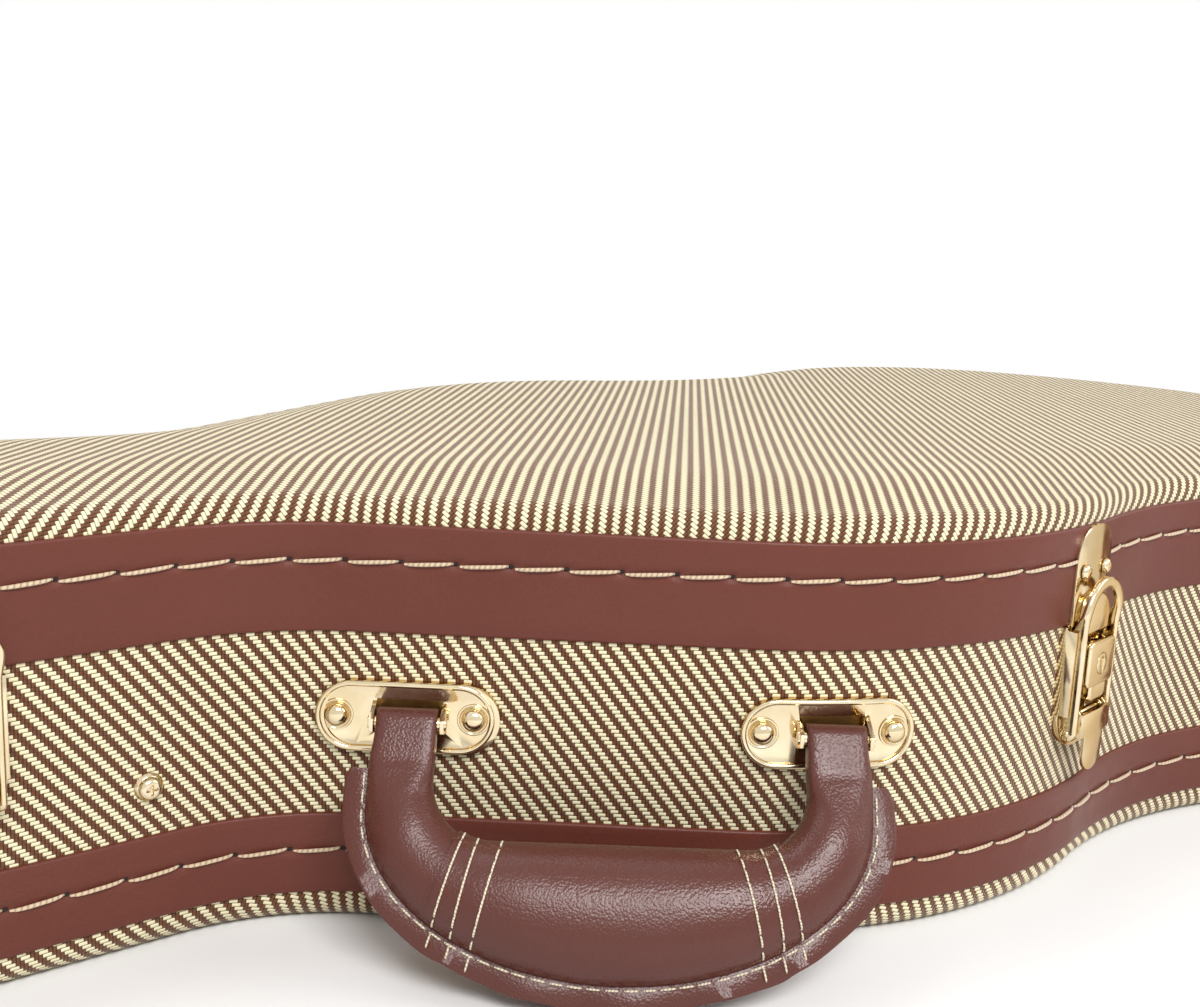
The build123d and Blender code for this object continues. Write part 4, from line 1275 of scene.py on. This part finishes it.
def swell(piece):
    """Blows the piece up as cloth and holds each point within the limit of where it was."""
    before = places(piece)
    cloth = modify(piece, "CLOTH")
    cloth.settings.use_pressure = True
    cloth.settings.uniform_pressure_force = 4.0
    cloth.settings.effector_weights.gravity = 0.0
    cloth.collision_settings.use_collision = False
    cloth.point_cache.frame_start = 1
    cloth.point_cache.frame_end = swell_frames
    for step in range(1, swell_frames + 1):
        bpy.context.scene.frame_set(step)
    applied(piece)
    moved = (places(piece) - before).reshape(-1, 3)
    length = np.linalg.norm(moved, axis=1, keepdims=True)
    moved *= np.minimum(1.0, swell_limit / np.maximum(length, 1e-9))
    piece.data.vertices.foreach_set("co", before + moved.ravel())
    bpy.context.scene.frame_set(1)


def plush_pad(node, cell):
    piece = placed("padded_" + node, frame["nodes"][node].data.copy())
    face_out(piece)
    modify(piece, "REMESH", mode="VOXEL", voxel_size=cell)
    modify(piece, "SMOOTH", factor=0.5, iterations=4)
    applied(piece)
    swell(piece)
    modify(piece, "SUBSURF", levels=1, render_levels=1)
    applied(piece)
    piece.data.shade_smooth()
    dress(piece, plush, node_body[node], "plush_lining", node)


plush_pad("body_cradle", cell=0.006)
plush_pad("neck_rest", cell=0.005)
plush_pad("head_rest", cell=0.005)
plush_pad("head_pad", cell=0.004)
plush_pad("lid_body_pad", cell=0.006)
for node in ("accessory_box", "accessory_lid", "rim_valance", "lid_neck_lining"):
    rounded_node(node, lining_edge, node_body[node], "plush_lining", plush)


# Linings. The same plush is glued to the bare walls, in the base up to the valance and in the
# lid down to the parting line, and to the boards between them.
wood_inset = 0.0011
base_wall_thickness = 0.007
lid_wall_thickness = 0.0065
base_inside = wood_inset + base_wall_thickness
lid_inside = wood_inset + lid_wall_thickness
wall_cloth = 0.0005
board_cloth = 0.0004


def lining(piece, body):
    face_out(piece)
    sharpen(piece, 50)
    dress(piece, plush, body, "plush_lining")


def wall_lining(name, body, inset, low, high):
    inside = -inset - wall_cloth
    height = high - low
    profile = [(inside, low, 0.0), (inside, high, height), (-inset, high, height), (-inset, low, 0.0)]
    lining(ring_sweep(name, profile), body)


def board_lining(name, body, inset, low, high):
    outline = [point - normal * inset for _, point, normal in walls]
    verts = [(spot.x, spot.y, up) for up in (low, high) for spot in outline]
    lining(new_piece(name, verts, tube_faces(2, len(walls))), body)


lid_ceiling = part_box("lid_panel")[0].z
base_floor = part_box("base_panel")[1].z
wall_lining("base_wall_lining", "base", base_inside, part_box("base_wall")[0].z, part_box("rim_valance")[0].z)
wall_lining("lid_wall_lining", "lid", lid_inside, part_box("lid_wall")[0].z, lid_ceiling)
board_lining("base_board_lining", "base", base_inside, base_floor, base_floor + board_cloth)
board_lining("lid_board_lining", "lid", lid_inside, lid_ceiling - board_cloth, lid_ceiling)


# Pull tab. A folded strip of the bands' leatherette is sewn to the compartment's lid, and its
# edges are rounded like theirs.
tab_fold = 0.0004
rounded_node(
    "accessory_tab", tab_fold, node_body["accessory_tab"], "binding_leatherette", band_leather, segments=3
)


# Plywood. The walls and boards are seen only at their edges when the case is open, so the CAD's
# own pieces stay, in a finish with the layers across them.
wood_shader = Shader("plywood", roughness=0.7)
layers = wood_shader.scaled(wood_shader.place(), 12.0, 12.0, 900.0)
grain = wood_shader.noise(layers, 1.0, 4.0, 0.6)
plywood = wood_shader.set(
    base_color=wood_shader.mix(grain, (0.36, 0.20, 0.09, 1.0), (0.62, 0.43, 0.24, 1.0))
)
for node in ("base_wall", "base_panel", "lid_wall", "lid_panel"):
    materials = frame["nodes"][node].data.materials
    materials.clear()
    materials.append(plywood)


# Camera. It stands at the photograph's place, found from the bands' edges and the fittings. Its
# lens comes from a focal length in pixels of the photograph.
camera_place = Vector((-0.2233, -0.4254, 0.2117))
camera_turn = radians(35.388)
camera_pitch = radians(11.344)
camera_roll = radians(2.622)
focal_pixels = 1336.1
photo_width_pixels = 1200
sensor_width = 36.0
camera_data = bpy.data.cameras.new("camera")
camera_data.sensor_width = sensor_width
camera_data.sensor_fit = "HORIZONTAL"
camera_data.lens = focal_pixels / photo_width_pixels * sensor_width
camera_data.clip_start = 0.01
camera = placed("camera", camera_data)
aimed = Matrix.Rotation(-camera_turn, 4, "Z") @ Matrix.Rotation(pi / 2 - camera_pitch, 4, "X")
aimed @= Matrix.Rotation(camera_roll, 4, "Z")
camera.matrix_world = Matrix.Translation(camera_place) @ aimed
bpy.context.scene.camera = camera


# Studio. A white floor fades into a white surround, which the camera and the brass see brighter
# than the object is lit by, under a large soft key, a fill and a weak top light.
floor_corners = ((-3.0, -3.0), (1.4, -3.0), (1.4, 0.7), (-3.0, 0.7))
floor = new_piece("floor", [(x, y, -0.0002) for x, y in floor_corners], [(0, 1, 2, 3)])
floor.data.materials.append(Shader("floor_finish").set(base_color=(0.86, 0.86, 0.86, 1.0), roughness=0.9))

world = bpy.data.worlds.new("studio")
world.use_nodes = True
bpy.context.scene.world = world
nodes = world.node_tree.nodes
links = world.node_tree.links
surround = nodes["Background"]
seen = nodes.new("ShaderNodeBackground")
for backdrop, strength in ((surround, 0.50), (seen, 1.0)):
    backdrop.inputs["Color"].default_value = (1, 1, 1, 1)
    backdrop.inputs["Strength"].default_value = strength
ray = nodes.new("ShaderNodeLightPath")
bright = ray.outputs["Is Camera Ray"]
for kind in ("Is Glossy Ray", "Is Transmission Ray"):
    also = nodes.new("ShaderNodeMath")
    also.operation = "MAXIMUM"
    links.new(bright, also.inputs[0])
    links.new(ray.outputs[kind], also.inputs[1])
    bright = also.outputs[0]
join = nodes.new("ShaderNodeMixShader")
links.new(bright, join.inputs[0])
links.new(surround.outputs[0], join.inputs[1])
links.new(seen.outputs[0], join.inputs[2])
links.new(join.outputs[0], nodes["World Output"].inputs[0])


def area_light(name, place, aim, size, power):
    data = bpy.data.lights.new(name, "AREA")
    data.shape = "RECTANGLE"
    data.size, data.size_y = size
    data.energy = power
    lamp = placed(name, data)
    lamp.location = place
    lamp.rotation_euler = (Vector(aim) - Vector(place)).to_track_quat("-Z", "Y").to_euler()


area_light("key", place=(-0.35, -1.25, 1.25), aim=(0.0, -0.1, 0.07), size=(0.9, 0.5), power=24.0)
area_light("fill", place=(1.2, -0.9, 0.9), aim=(0.1, -0.1, 0.07), size=(0.9, 0.9), power=6.0)
area_light("top", place=(0.0, 0.5, 1.4), aim=(0.0, 0.0, 0.1), size=(1.4, 0.8), power=9.0)

bpy.context.scene.view_settings.view_transform = "Standard"

for item in (thread_item, hole_item):
    bpy.data.objects.remove(item)
